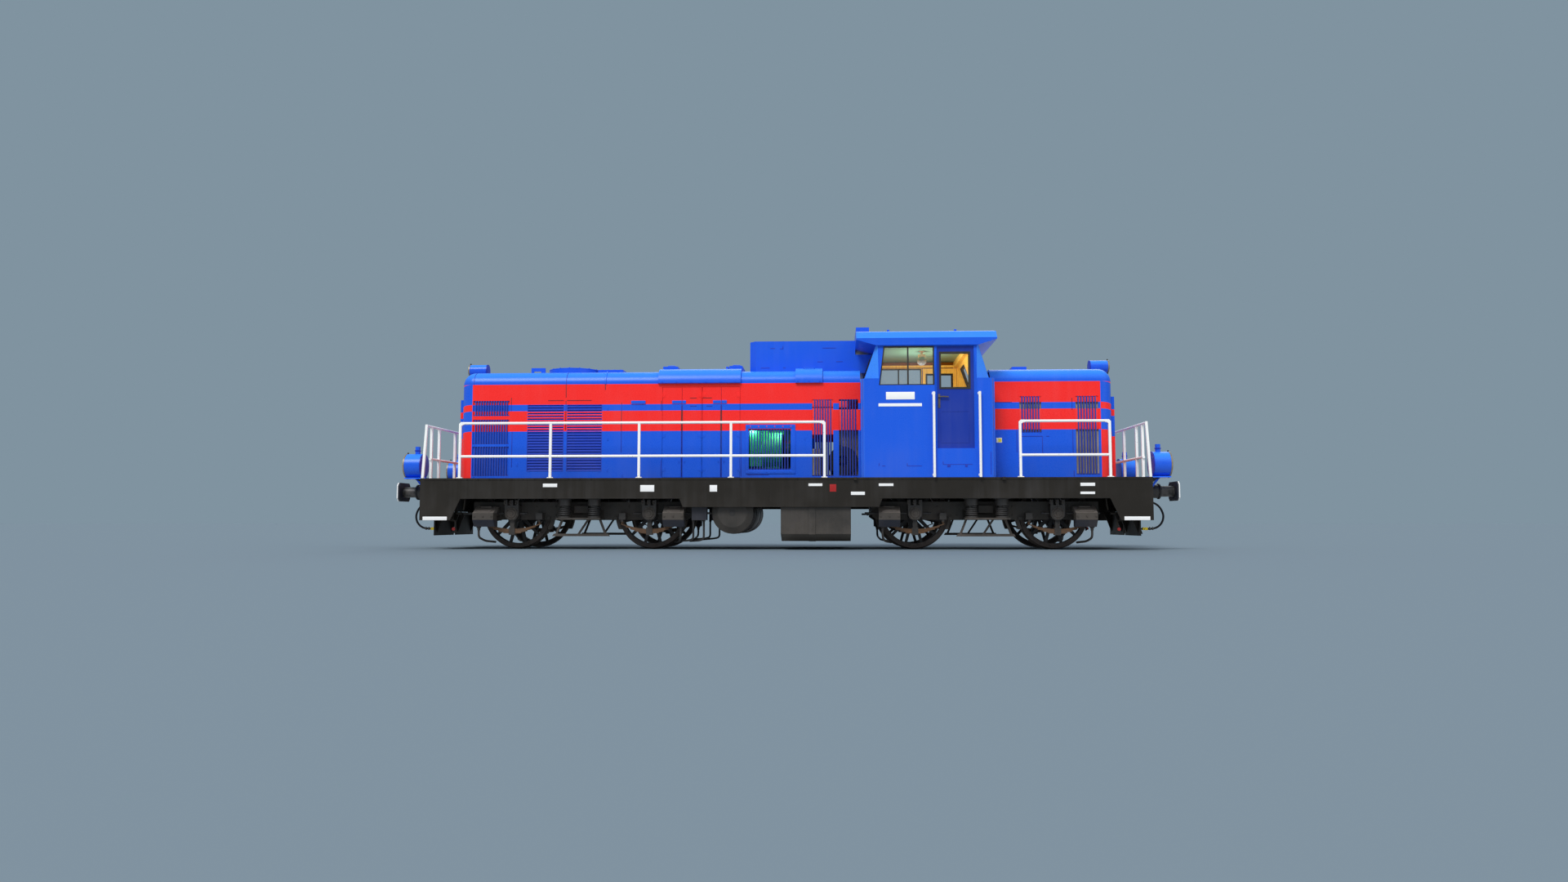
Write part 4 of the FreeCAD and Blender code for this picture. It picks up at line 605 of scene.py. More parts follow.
coil_growth = Growth("coil_spring", Turns=4.0, Radius=COIL_R, Wire=WIRE_R, Height=0.15)
given = coil_growth.given
helix = coil_growth.node("GeometryNodeCurveSpiral", inputs={
    "Resolution": 22, "Rotations": given["Turns"], "Start Radius": given["Radius"],
    "End Radius": given["Radius"], "Height": given["Height"],
})
wire_sizes = {"Resolution": 8, "Radius": given["Wire"]}
wire = coil_growth.node("GeometryNodeCurvePrimitiveCircle", inputs=wire_sizes)
coil = coil_growth.node("GeometryNodeCurveToMesh", inputs={0: helix, 1: wire, "Fill Caps": True})
coil = coil_growth.node("GeometryNodeSetShadeSmooth", inputs={"Geometry": coil})
put = coil_growth.node("GeometryNodeInstanceOnPoints", inputs={"Points": given["Start"], "Instance": coil})
coil_growth.finish(put)
for end, pivot in BOGIES:
    seats = [
        ((pivot + x, y, COIL_LOW + WIRE_R), (0, 0, 1))
        for x in (-SPRING_X, SPRING_X) for y in (-SPRING_Y, SPRING_Y)
    ]
    coil_growth.grow(
        "coil_springs_" + end, spots(seats), "bogie_" + end, "spring_steel", black_iron,
        Turns=4.25, Height=COIL_TOP - COIL_LOW - 2 * WIRE_R,
    )
    clasp = Piece()
    for side in (-1, 1):
        for along in (-HALF_BASE, HALF_BASE):
            x = pivot + along
            for z in (0.285, 0.375):
                clasp.block(
                    (x - 0.060, side * 1.060, z - 0.008), (x + 0.060, side * 1.160, z + 0.008), 0.004
                )
            for eye in (-0.5, 0.5):
                clasp.turned(EYE_PIN, (x + eye, side * 1.005, 0.515), "y", 20, way=side)
    clasp.fix("spring_clasps_" + end, "bogie_" + end, "spring_steel", leaf_paint)


# Brake gear
# Pull rods and rocking arms along the bottom of each bogie work the brakes. They are bare forged steel
# that has gone dark, with clevis pins at the joints.
brake_iron = weathered(Finish("brake rod iron"), colour("453e38"), 0.5, dust=0.6, dust_top=0.7, ripple=0.001)
dress(brake_iron, "bogie_brakes_front", "bogie_brakes_rear")


# Underframe and deck
# The welded underframe of rolled sections carries a ribbed steel walkway. Deep side plates, corner steps
# with white nosings and blank white data plates finish its edge; all of it is painted satin black.
sill_paint = Finish("frame black", Specular_IOR_Level=0.3)
weathered(sill_paint, colour("1f1a13"), 0.45, dust=0.15, dust_top=1.3)
well_paint = weathered(Finish("frame black in the well"), colour("20211f"), 0.5, dust=0.4, dust_top=1.3)
dress(sill_paint, "side_plates", "buffer_beams", "snow_ploughs")
dress(well_paint, "underframe")
tread_plate = Finish("tread plate")
rib_a = tread_plate.node(
    "ShaderNodeTexWave", {"wave_type": "BANDS", "bands_direction": "DIAGONAL"},
    {"Vector": tread_plate.spot, "Scale": 12.0, "Distortion": 0.0}, out=1,
)
scuff = tread_plate.ease(tread_plate.mottle(2.6, 5.0), 0.45, 0.7)
tread_plate.feed(
    Base_Color=tread_plate.mix(colour("2a2724"), colour("57514a"), scuff * 0.7),
    Roughness=0.6 - scuff * 0.2,
    Metallic=scuff * 0.5,
    Normal=tread_plate.relief(tread_plate.ease(rib_a, 0.75, 0.95), 0.002),
)
dress(tread_plate, "deck", "cab_floor")
white_paint = Finish("white enamel", Coat_Weight=0.2)
weathered(white_paint, colour("f6f6f4"), 0.25, dust=0.3, dust_top=1.0, ripple=0.0002)
red_paint = weathered(Finish("red enamel"), colour("a80808"), 0.3)

SILL = 1.5
PLATE_T = 0.003
STRIP_T = 0.006
REFLECTOR = (6.01, 0.370)
REFLECTOR_STRAP = (
    (5.970, 0.325), (5.998, 0.325), (5.998, 0.512), (6.080, 0.512), (6.080, 0.530), (5.970, 0.530),
)
# first end, second end, lower edge, upper edge
DATA_PLATES = (
    (-4.286, -4.026, 1.124, 1.186), (-2.518, -2.266, 1.040, 1.157), (-1.267, -1.134, 1.038, 1.155),
    (0.500, 0.747, 1.135, 1.181), (1.254, 1.500, 0.976, 1.033), (1.747, 2.006, 1.133, 1.179),
    (5.283, 5.537, 1.129, 1.185), (5.280, 5.534, 0.986, 1.029),
)
RED_PLATE = (0.878, 0.993, 1.035, 1.166)
plates = Piece()
studs = []
for side in (-1, 1):
    for x0, x1, z0, z1 in DATA_PLATES:
        plates.lay(side, SILL, (x0, x1), (z0, z1), PLATE_T, 0.0015)
        for x in (x0 + 0.012, x1 - 0.012):
            studs.append(((x, side * (SILL + PLATE_T), (z0 + z1) / 2), (0, side, 0)))
    for end in (-1, 1):
        plates.block(
            (end * 6.032, side * (SILL - 0.002), 0.529), (end * 6.478, side * (SILL + 0.004), 0.594), 0.003
        )
        for z in (0.547, 0.808):
            plates.block((end * 6.032, side * 1.462, z), (end * 6.476, side * 1.474, z + 0.014), 0.003)
plates.fix("data_plates_and_step_nosings", "root", "rail_white", white_paint)
spot = Piece()
for side in (-1, 1):
    spot.lay(side, SILL, RED_PLATE[:2], RED_PLATE[2:], PLATE_T, 0.0015)
    for end in (-1, 1):
        spot.disc(0.03, 0.02, (end * REFLECTOR[0], side * 1.2, REFLECTOR[1]), "y", 16, way=side)
spot.fix("red_plates_and_reflectors", "root", "rail_white", red_paint)
trim = Piece()
for side in (-1, 1):
    for x in (1.300, 3.918):
        trim.lay(side, SILL, (x, x + 0.062), (1.236, 1.290), 0.05, 0.006)
    for x, low in ((-3.531, 0.92), (3.531, 0.92), (-0.2, 0.78)):
        trim.lay(side, SILL, (x - 0.004, x + 0.004), (low, 1.244), 0.002, 0.0008)
    trim.lay(side, SILL, (-6.47, 6.47), (1.246, 1.286), STRIP_T, 0.003)
    for low, x0, x1 in ((0.765, -1.745, 1.745), (0.917, -5.79, -1.77), (0.917, 1.77, 5.79)):
        trim.lay(side, SILL, (x0, x1), (low, low + 0.016), 0.004, 0.002)
    for end in (-1, 1):
        trim.plate([(end * x, z) for x, z in REFLECTOR_STRAP], "y", side * 1.182, side * 1.202, 0.002)
        for outer, inner, radius, sides in ((5.979, 5.875, 0.019, 12), (5.915, 5.880, 0.027, 6)):
            pipe_ends = [(end * x, side * LINE_Y, LINE_Z) for x in (outer, inner)]
            trim.pipe(pipe_ends, radius, sides=sides)
        drain = ((5.765, 1.35, 1.256), (5.765, 1.35, 0.84), (5.80, 1.30, 0.72))
        trim.pipe([(end * x, side * y, z) for x, y, z in drain], 0.017, bend=0.06)
trim.fix("sill_strips_and_lugs", "root", "skirt_black", sill_paint)
bolt("data_plate_rivets", studs, "root", "rail_white", white_paint, 0.005, 0.003)
sill_bolts = []
for side in (-1, 1):
    for k in range(62):
        sill_bolts.append(((-6.30 + k * 0.2065, side * (SILL + STRIP_T), 1.266), (0, side, 0)))
    for end in (-1, 1):
        rows = [(y, z) for y in (0.2, 0.6, 1.25, 1.42) for z in (0.76, 1.22)]
        sill_bolts += [((end * 6.541, side * y, z), (end, 0, 0)) for y, z in rows]
bolt("sill_bolts", sill_bolts, "root", "skirt_black", sill_paint, 0.011, 0.009)


# Buffers and draw gear
# A sprung buffer stands at each corner, its sleeve bolted to the beam and its head painted navy as painted
# shade, with a white rim. Between each pair is the draw hook on its greased shank.
BUFFER_Y = 0.875
BUFFER_Z = 1.05
BEAM_FACE = 6.568
# profile of the rings at both ends of a buffer's sleeve
SLEEVE_RING = ((0.124, 0.0), (0.142, 0.0), (0.142, 0.022), (0.134, 0.030), (0.124, 0.030))
buffer_paint = Finish("buffer paint")
aside = abs(abs(buffer_paint.y) - BUFFER_Y)
height = abs(buffer_paint.z - BUFFER_Z)
head = abs(buffer_paint.x) > 7.0745
rim = (abs(buffer_paint.x) > 7.100) * ((aside > 0.243) + (height > 0.157) + (aside + height > 0.362) > 0.5)
grease = buffer_paint.ease(buffer_paint.mottle(13.0, 5.0), 0.45, 0.62)
plunger = buffer_paint.between(abs(buffer_paint.x), 6.83, 7.0745)
barrel = buffer_paint.mix(colour("2b2825"), colour("4a4744"), plunger)
# The buffer head takes the navy of the shaded faces: painted shade.
barrel = buffer_paint.mix(barrel, colour("171c28"), head)
barrel = buffer_paint.mix(barrel, colour("0d0c0c"), grease * (plunger + (abs(buffer_paint.x) > 7.118)) * 0.7)
weathered(buffer_paint, buffer_paint.mix(barrel, colour("f2f2f0"), rim), 0.36, dust=0.25, ripple=0.0008)
dress(buffer_paint, "buffers")
dress(black_iron, "draw_gear")
buffer_bolts = []
sleeves = Piece()
for end in (-1, 1):
    for side in (-1, 1):
        for y in (-0.155, 0.155):
            for z in (-0.115, 0.115):
                buffer_bolts.append(((end * BEAM_FACE, side * BUFFER_Y + y, BUFFER_Z + z), (end, 0, 0)))
        for along in (0.0, 0.235):
            foot = (end * (BEAM_FACE + along), side * BUFFER_Y, BUFFER_Z)
            sleeves.turned(SLEEVE_RING, foot, "x", 40, closed=True, way=end)
bolt("buffer_bolts", buffer_bolts, "root", "buffer_steel", black_iron, 0.020, 0.018)
sleeves.fix("buffer_sleeve_rings", "root", "buffer_steel", black_iron)


# Fuel tank and air equipment
# The fuel tank and the cross-mounted main air reservoir hang under the middle of the frame in strap
# hangers. Navy junction boxes and their pipes sit at the inner end of the front bogie.
tank_paint = weathered(Finish("tank paint"), colour("2b2722"), 0.42, dust=0.45, dust_top=1.1)
dress(tank_paint, "fuel_tank")
air_paint = Finish("air equipment paint")
boxes = air_paint.x < -1.32
weathered(air_paint, air_paint.mix(colour("2b2722"), colour("171a26"), boxes), 0.42, dust=0.4, dust_top=1.0)
dress(air_paint, "air_equipment")
RESERVOIR_X = -0.87
RESERVOIR_Z = 0.66
RESERVOIR_R = 0.373
STRAP = (
    (RESERVOIR_R - 0.004, -0.025), (RESERVOIR_R + 0.006, -0.025), (RESERVOIR_R + 0.006, 0.025),
    (RESERVOIR_R - 0.004, 0.025),
)
END_BOSS = ((0.0, 0.0), (0.060, 0.0), (0.060, 0.010), (0.035, 0.016), (0.0, 0.016))
hangers = Piece()
for side in (-1, 1):
    for along in (0.55, 1.05):
        hangers.turned(STRAP, (RESERVOIR_X, side * along, RESERVOIR_Z), "y", 56, closed=True)
    hangers.turned(END_BOSS, (RESERVOIR_X, side * 1.39, RESERVOIR_Z), "y", 32, way=side)
    for x, end_x in ((-1.582, -1.90), (-1.392, -1.69)):
        drain = ((x, 1.30, 0.545), (x, 1.30, 0.19), (x - 0.09, 1.22, 0.165), (end_x, 0.93, 0.150))
        hangers.pipe([(a, side * y, z) for a, y, z in drain], 0.019, bend=0.07)
        hangers.pipe(((x, side * 1.30, 0.532), (x, side * 1.30, 0.506)), 0.029, sides=6)
    elbow = ((-1.335, 1.3), (-1.25, 1.3), (-1.25, 1.1))
    hangers.pipe([(x, side * y, LINE_Z) for x, y in elbow], 0.019, bend=0.04)
hangers.fix("reservoir_straps_and_pipes", "root", "skirt_black", black_iron)


# Hoods
# Two welded sheet-steel hoods cover the engine room and the rear compartment. They are blue with two red
# stripes, and on the rounded noses the stripes sink towards the middle and change places with the blue.
BLUE = colour("1b5de0")
RED = colour("ff2e2a")
STRIPES = ((2.178, 2.558), (2.678, 3.058))
HOOD_SIDE = 0.95
NOSE_SEAM = 5.80
END_PANEL = (6.035, 0.702)
LOUVRE_X = (-4.757, -3.345)
FOOT = 1.289
SEAM_W = 0.012
SEAM_H = 0.003
DRIP_H = 0.006
SINK = 0.002
# joints of the side sheets: along, lower end, upper end
SHEET_JOINTS = (
    (-5.062, 2.557, 2.81), (-5.038, 1.51, 2.178), (-4.030, 2.20, 2.75), (-4.030, 2.81, 3.056),
    (-3.291, 2.95, 3.056), (-2.984, 1.78, 2.71), (-2.240, 2.55, 2.74), (-2.240, 1.336, 1.636),
    (-0.755, 1.336, 2.176), (4.282, 1.76, 2.178), (4.742, 1.74, 2.055), (5.286, 2.53, 2.75),
    (5.290, 1.75, 2.178), (5.300, 1.32, 1.43),
)
# first end, second end, height
DRIP_EDGES = (
    (-4.365, -4.075, 2.756), (-4.010, -3.550, 2.756), (-0.640, -0.248, 1.365), (4.345, 4.740, 2.055),
    (3.900, 4.200, 2.679), (3.830, 3.885, 2.750), (4.815, 4.865, 2.055),
)
ROOF_JOINTS = (-5.780, -4.030)
# middle and radius of the bend at the roof's edge
ROOF_BEND = (0.71, 3.068)
ROOF_BEND_R = 0.24
HOOD_EAVES = 3.058


def livery(finish):
    """How red a place is: two stripes along the sides, blue and red the other way round on the noses."""
    along, across = abs(finish.x), abs(finish.y)
    nose = along > NOSE_SEAM
    panel = (along > END_PANEL[0]) * (across < END_PANEL[1])
    sink = (HOOD_SIDE - across) * 0.18 + panel * (END_PANEL[1] - across) * 0.12 + panel * 0.068
    level = finish.z + nose * sink
    striped = sum(finish.between(level, low, high) for low, high in STRIPES)
    (low, mid_low), (mid_high, high) = STRIPES
    rest = (level < low) + finish.between(level, mid_low, mid_high)
    rest = rest + (level > high) * (finish.z < high) * (1 - panel)
    return striped * (1 - nose) + rest * nose


def painted_top_light(finish):
    """The blue, painted paler where it looks up: a painted highlight on upward faces."""
    return finish.mix(BLUE, colour("3488fa"), finish.ease(finish.upward(), 0.12, 0.7))


hood_paint = Finish("hood paint", Specular_IOR_Level=0.25)
in_recess = hood_paint.between(abs(hood_paint.y), 0.90, 0.934)
# The recess behind the louvre slats is painted dark blue: painted shade where the slats shade it.
painted_slat_recess_shade = hood_paint.between(hood_paint.x, *LOUVRE_X) * in_recess * (hood_paint.z < 2.9)
# The hood blue is painted paler on its upward faces: painted light.
hood_colour = hood_paint.mix(painted_top_light(hood_paint), RED, livery(hood_paint))
hood_colour = hood_paint.mix(hood_colour, colour("1d3fb4"), painted_slat_recess_shade)
weathered(hood_paint, hood_colour, 0.2, dust=0.3, dust_top=1.9)
dress(
    hood_paint, "long_hood_left", "long_hood_right", "long_hood_roof", "long_hood_nose", "short_hood_left",
    "short_hood_right", "short_hood_roof", "short_hood_nose",
)
seam_paint = Finish("seam paint")
weathered(seam_paint, seam_paint.mix(colour("0d2fae"), colour("6a1a20"), livery(seam_paint)), 0.45)
plain_blue = Finish("plain blue paint", Specular_IOR_Level=0.25)
# Painted paler on upward faces: painted light.
weathered(plain_blue, painted_top_light(plain_blue), 0.2, dust=0.3, dust_top=1.9)


def roof_line(proud):
    """Half the hood's outline from the middle of the roof down its round edge, as (across, height)."""
    turns = [math.radians(90 - 15 * k) for k in range(7)]
    (y, z), bend = ROOF_BEND, ROOF_BEND_R + proud
    edge = [(y + bend * math.cos(t), z + bend * math.sin(t)) for t in turns]
    return [(0.0, z + bend)] + edge + [(HOOD_SIDE + proud, HOOD_EAVES)]


seams = Piece()
flanges = Piece()
foot_bolts = []
for side in (-1, 1):
    for x, low, high in SHEET_JOINTS:
        seams.lay(side, HOOD_SIDE, (x - SEAM_W / 2, x + SEAM_W / 2), (low, high), SEAM_H, sink=SINK)
    for x0, x1, z in DRIP_EDGES:
        seams.lay(side, HOOD_SIDE, (x0, x1), (z - 0.005, z + 0.005), DRIP_H, 0.002, sink=SINK)
    for x0, x1 in ((-5.79, 1.436), (3.824, 5.79)):
        flanges.lay(side, HOOD_SIDE, (x0, x1), (FOOT, FOOT + 0.020), DRIP_H, 0.002, sink=SINK)
        count = int((x1 - x0) / 0.36)
        steps = [x0 + (x1 - x0) * (k + 0.5) / count for k in range(count)]
        foot_bolts += [((x, side * (HOOD_SIDE + 0.007), FOOT + 0.010), (0, side, 0)) for x in steps]
for x in ROOF_JOINTS:
    over, under = roof_line(SEAM_H), roof_line(-SINK)
    outline = [(-y, z) for y, z in reversed(over)] + over[1:] + under[::-1] + [(-y, z) for y, z in under[1:]]
    seams.plate(outline, "x", x - SEAM_W / 2, x + SEAM_W / 2, 0)
seams.fix("hood_seams", "root", "hood_paint", seam_paint)
flanges.fix("hood_foot_flanges", "root", "hood_paint", hood_paint)
bolt("hood_foot_bolts", foot_bolts, "root", "hood_paint", hood_paint, 0.008, 0.006)


# Hood grilles
# Upright flat bars and folded slats close the air openings, screwed into recesses of the side sheets. Filter
# mats, red inner sheets and the black blower show behind the bars. The slats carry painted shade, and the
# mats are painted paler as painted light.
# The mat colour is paler than the cloth: painted light against the shade behind the bars.
MAT = colour("bfb2a0")
SLAT_LOW = 1.431
SLAT_PITCH = 0.05179
BAR_PITCH = 0.098
# first end, second end, lower edge, upper edge, distance of the mat from the middle
FILTER_MATS = (
    (4.30, 4.765, 2.09, 2.82, 0.903), (5.31, 5.775, 1.32, 2.82, 0.903), (1.02, 1.43, 1.30, 2.176, 0.794),
    (0.53, 0.72, 1.30, 1.84, 0.903),
)
# first end, second end, lower edge, upper edge
RED_SHEETS = (
    (0.53, 0.96, 2.10, 2.59), (0.53, 0.96, 2.61, 2.76), (1.03, 1.41, 2.18, 2.565), (1.03, 1.22, 2.60, 2.72),
    (4.32, 4.75, 2.178, 2.558), (4.32, 4.75, 2.678, 2.80), (5.33, 5.77, 2.178, 2.558),
    (5.33, 5.77, 2.678, 2.80),
)
ENGINE_FRAME = (
    (-0.672, 0.247, 2.212, 2.288), (-0.672, 0.247, 1.381, 1.443), (-0.672, -0.623, 1.443, 2.212),
    (0.169, 0.247, 1.443, 2.212),
)
SCREWED = (
    (-5.784, -5.096, 2.470, 2.754), (-5.784, -5.096, 1.943, 2.401), (-5.784, -5.096, 1.349, 1.897),
    (-4.757, -4.065, 1.431, 2.674), (-4.012, -3.345, 1.431, 2.674), (4.335, 4.732, 2.120, 2.786),
    (5.347, 5.757, 1.353, 2.786), (0.555, 0.944, 1.333, 2.748), (1.049, 1.400, 1.333, 2.748),
)
# middle and radius of the cooling blower, how deep it stands, and its casing's and hub's profiles
BLOWER = (1.12, 0.0, 1.615)
BLOWER_FACE = 0.900
BLOWER_CASING = (
    (0.10, 0.0), (0.262, 0.0), (0.272, -0.012), (0.272, -0.03), (0.255, -0.04), (0.255, -0.10),
    (0.10, -0.10),
)
BLOWER_HUB = ((0.0, 0.885), (0.05, 0.885), (0.07, 0.87), (0.07, 0.80), (0.0, 0.80))
grille_paint = Finish("grille paint")
weave = (grille_paint.x / BAR_PITCH).sum("FRACT", grille_paint.x / BAR_PITCH)
bar_colour = grille_paint.mix(colour("1b3d9e"), colour("1430a0"), weave > 0.5)
# The slats are painted darker than the hood blue: painted shade for their downward slope.
slat_colour = grille_paint.mix(colour("1d40b8"), RED, livery(grille_paint))
step = (grille_paint.z - SLAT_LOW) / SLAT_PITCH
# The upper part of each slat step is painted blue: painted shade standing in for the gaps between slats.
painted_slat_gap_shade = step.sum("FRACT", step) > 0.55
slat_colour = grille_paint.mix(slat_colour, colour("1b48c8"), painted_slat_gap_shade)
bar_colour = grille_paint.mix(bar_colour, colour("1b3da8"), grille_paint.x < -5.09)
slatted = grille_paint.between(grille_paint.x, *LOUVRE_X)
weathered(grille_paint, grille_paint.mix(bar_colour, slat_colour, slatted), 0.3, dust=0.4, dust_top=2.0)
dress(grille_paint, "long_hood_grilles", "short_hood_grilles")
mat_cloth = Finish("filter mat", Specular_IOR_Level=0.1)
fibre = mat_cloth.mottle(60.0, 6.0)
soot = mat_cloth.ease(mat_cloth.mottle(3.0), 0.35, 0.7)
mat_cloth.feed(
    Base_Color=mat_cloth.mix(MAT, colour("6f6354"), soot * fibre),
    Roughness=fibre * 0.2 + 0.75,
    Normal=mat_cloth.relief(fibre, 0.004),
)
blower_black = weathered(Finish("blower black"), colour("262220"), 0.5)

mats = Piece()
sheets = Piece()
frame_bars = Piece()
screws = []
blower = Piece()
for side in (-1, 1):
    for x0, x1, low, high, depth in FILTER_MATS:
        pleats = round((x1 - x0) / 0.035)
        steps = range(2 * pleats + 1)
        fold = [(x0 + (x1 - x0) * k / (2 * pleats), side * (depth + 0.009 * (k % 2))) for k in steps]
        mats.plate(fold + [(x1, side * (depth - 0.02)), (x0, side * (depth - 0.02))], "z", low, high, 0)
    for x0, x1, low, high in RED_SHEETS:
        sheets.lay(side, 0.932, (x0, x1), (low, high), 0.004)
    for x0, x1, low, high in ENGINE_FRAME:
        frame_bars.lay(side, HOOD_SIDE, (x0, x1), (low, high), 0.012, 0.004, sink=SINK)
    for x0, x1, low, high in SCREWED:
        for x in (x0 + 0.04, x1 - 0.04):
            screws += [((x, side * 0.951, z), (0, side, 0)) for z in (low - 0.012, high + 0.012)]
    for k in range(6):
        screws += [((-0.58 + k * 0.149, side * 0.963, z), (0, side, 0)) for z in (2.25, 1.412)]
    x, y, z = BLOWER
    blower.turned(BLOWER_CASING, (x, side * BLOWER_FACE, z), "y", 40, closed=True, way=side)
    blower.turned(BLOWER_HUB, BLOWER, "y", 24, way=side)
    for turn in around(12):
        root, tip = on_ring((x, side * 0.86, z), 0.06, turn), on_ring((x, side * 0.83, z), 0.25, turn + 0.35)
        blower.pipe((root, tip), 0.014, sides=6)
mats.fix("filter_mats", "root", "grille_blue", mat_cloth)
sheets_paint = weathered(Finish("inner sheet red"), RED, 0.4)
sheets.fix("red_inner_sheets", "root", "hood_paint", sheets_paint)
frame_bars.fix("engine_grille_frames", "root", "hood_paint", plain_blue)
bolt("grille_screws", screws, "root", "hood_paint", hood_paint, 0.007, 0.005)
blower.fix("cooling_blowers", "root", "engine_green", blower_black)


# Engine doors
# Four double doors of folded sheet open the engine room. Each leaf hangs on three barrel hinges and closes
# with a turning latch, and a tab above holds it shut.
DOOR_LINE = (1.318, 2.990)
# of each bay: hinge of the first leaf, middle, hinge of the second leaf
BAYS = ((-2.217, -1.8555, -1.494), (-1.470, -1.125, -0.780))
HINGE_Z = (1.47, 2.10, 2.84)
TAB_Z = (2.684, 2.744)
# Two open leaves stand 24 mm apart face to face, so a latch stays under half of that.
LATCH_DEPTH = 0.0105
LATCH_Z = 1.62
ROSE = ((0.0, 0.0), (0.020, 0.0), (0.020, 0.004), (0.010, 0.007), (0.0, 0.007))
# first end and second end of each leaf's tab
TABS = {"1a": (-2.040, -1.8605), "1b": (-1.8505, -1.781), "2a": (-1.280, -1.130), "2b": (-1.120, -1.022)}
# first end, second end, height
DOOR_DRIPS = {
    "1b": ((-1.706, -1.584, 2.790), (-1.705, -1.583, 2.640)),
    "2a": ((-1.462, -1.300, 2.790), (-1.401, -1.290, 2.640)),
}
for word in ("left", "right"):
    dress(hood_paint, *("engine_door_%s_%d%s" % (word, n, leaf) for n in (1, 2) for leaf in "ab"))
for side, word in ((-1, "left"), (1, "right")):
    face = side * HOOD_SIDE
    for number, (first, middle, second) in enumerate(BAYS):
        for leaf, hinge, way in (("a", first, 1), ("b", second, -1)):
            key = "%d%s" % (number + 1, leaf)
            body = "engine_door_%s_%s" % (word, key)
            trim = Piece()
            edge = middle - way * 0.004
            trim.lay(side, HOOD_SIDE, (edge, edge - way * SEAM_W), (DOOR_LINE[0] + 0.01, 2.65), SEAM_H)
            for x0, x1, z in DOOR_DRIPS.get(key, ()):
                trim.lay(side, HOOD_SIDE, (x0, x1), (z - 0.005, z + 0.005), DRIP_H, 0.002)
            trim.fix(body + "_seams", body, "hood_paint", seam_paint)
            iron = Piece()
            for z in HINGE_Z:
                pin = [(hinge, face + side * 0.004, z + dz) for dz in (-0.05, 0.05)]
                iron.pipe(pin, 0.008)
                strap = (hinge + way * 0.004, hinge + way * 0.055)
                iron.lay(side, HOOD_SIDE, strap, (z - 0.038, z + 0.038), 0.004)
            iron.fix(body + "_hinges", body, "hood_paint", hood_paint)
            latch = Piece()
            latch.lay(side, HOOD_SIDE, TABS[key], TAB_Z, LATCH_DEPTH, 0.004)
            x = middle - way * 0.05
            latch.turned(ROSE, (x, face, LATCH_Z), "y", 24, way=side)
            grip = (face + side * 0.006, face + side * LATCH_DEPTH)
            latch.block((x - 0.007, grip[0], LATCH_Z - 0.035), (x + 0.007, grip[1], LATCH_Z + 0.035), 0.002)
            latch.fix(body + "_latch", body, "hood_paint", plain_blue)
SMALL_CATCHES = ((-3.24, 2.60), (-3.24, 2.03), (-3.24, 1.46), (0.42, 2.03), (-4.93, 1.56), (-2.96, 1.36))
fixed_tabs = Piece()
for side in (-1, 1):
    fixed_tabs.lay(side, HOOD_SIDE, (-2.804, -2.536), TAB_Z, 0.018, 0.004, sink=0.001)
    for x, z in SMALL_CATCHES:
        fixed_tabs.lay(
            side, HOOD_SIDE, (x - 0.009, x + 0.009), (z - 0.03, z + 0.03), 0.008, 0.002, sink=0.001
        )
fixed_tabs.fix("hood_side_tabs", "root", "hood_paint", plain_blue)
plates = Piece()
for side in (-1, 1):
    plates.lay(side, HOOD_SIDE, (3.911, 4.013), (1.939, 2.028), 0.004, 0.002, sink=0.001)
plate_cream = Finish("blank plate cream")
ring_at = (abs(plate_cream.x - 3.975) < 0.03) * (abs(plate_cream.z - 1.982) < 0.03)
weathered(plate_cream, plate_cream.mix(colour("f4f3d8"), colour("f5e23c"), ring_at), 0.3)
plates.fix("blank_hood_plates", "root", "rail_white", plate_cream)


# Engine and generator
# The diesel engine and its generator stand on bearers in the long hood. They are cast and fabricated iron in
# green machine enamel, painted brighter than the enamel as painted light inside the shaded hood, with black
# feet and a bright access cover on the generator.
# profile of the generator's end: radius, distance along
GENERATOR_END = (
    (0.0, -0.56), (0.30, -0.56), (0.335, -0.54), (0.335, -0.40), (0.352, -0.385), (0.352, -0.365),
    (0.335, -0.35), (0.335, -0.02), (0.30, 0.005), (0.15, 0.01), (0.125, 0.03), (0.125, 0.13), (0.07, 0.14),
    (0.0, 0.14),
)
BAND = ((0.425, -0.012), (0.447, -0.008), (0.447, 0.008), (0.425, 0.012))
engine_paint = Finish("engine green")
end_bell = engine_paint.between(engine_paint.x, 0.0, 0.30)
feet = engine_paint.z < 1.43
oil_film = engine_paint.ease(engine_paint.mottle(5.0, 4.0), 0.5, 0.8)
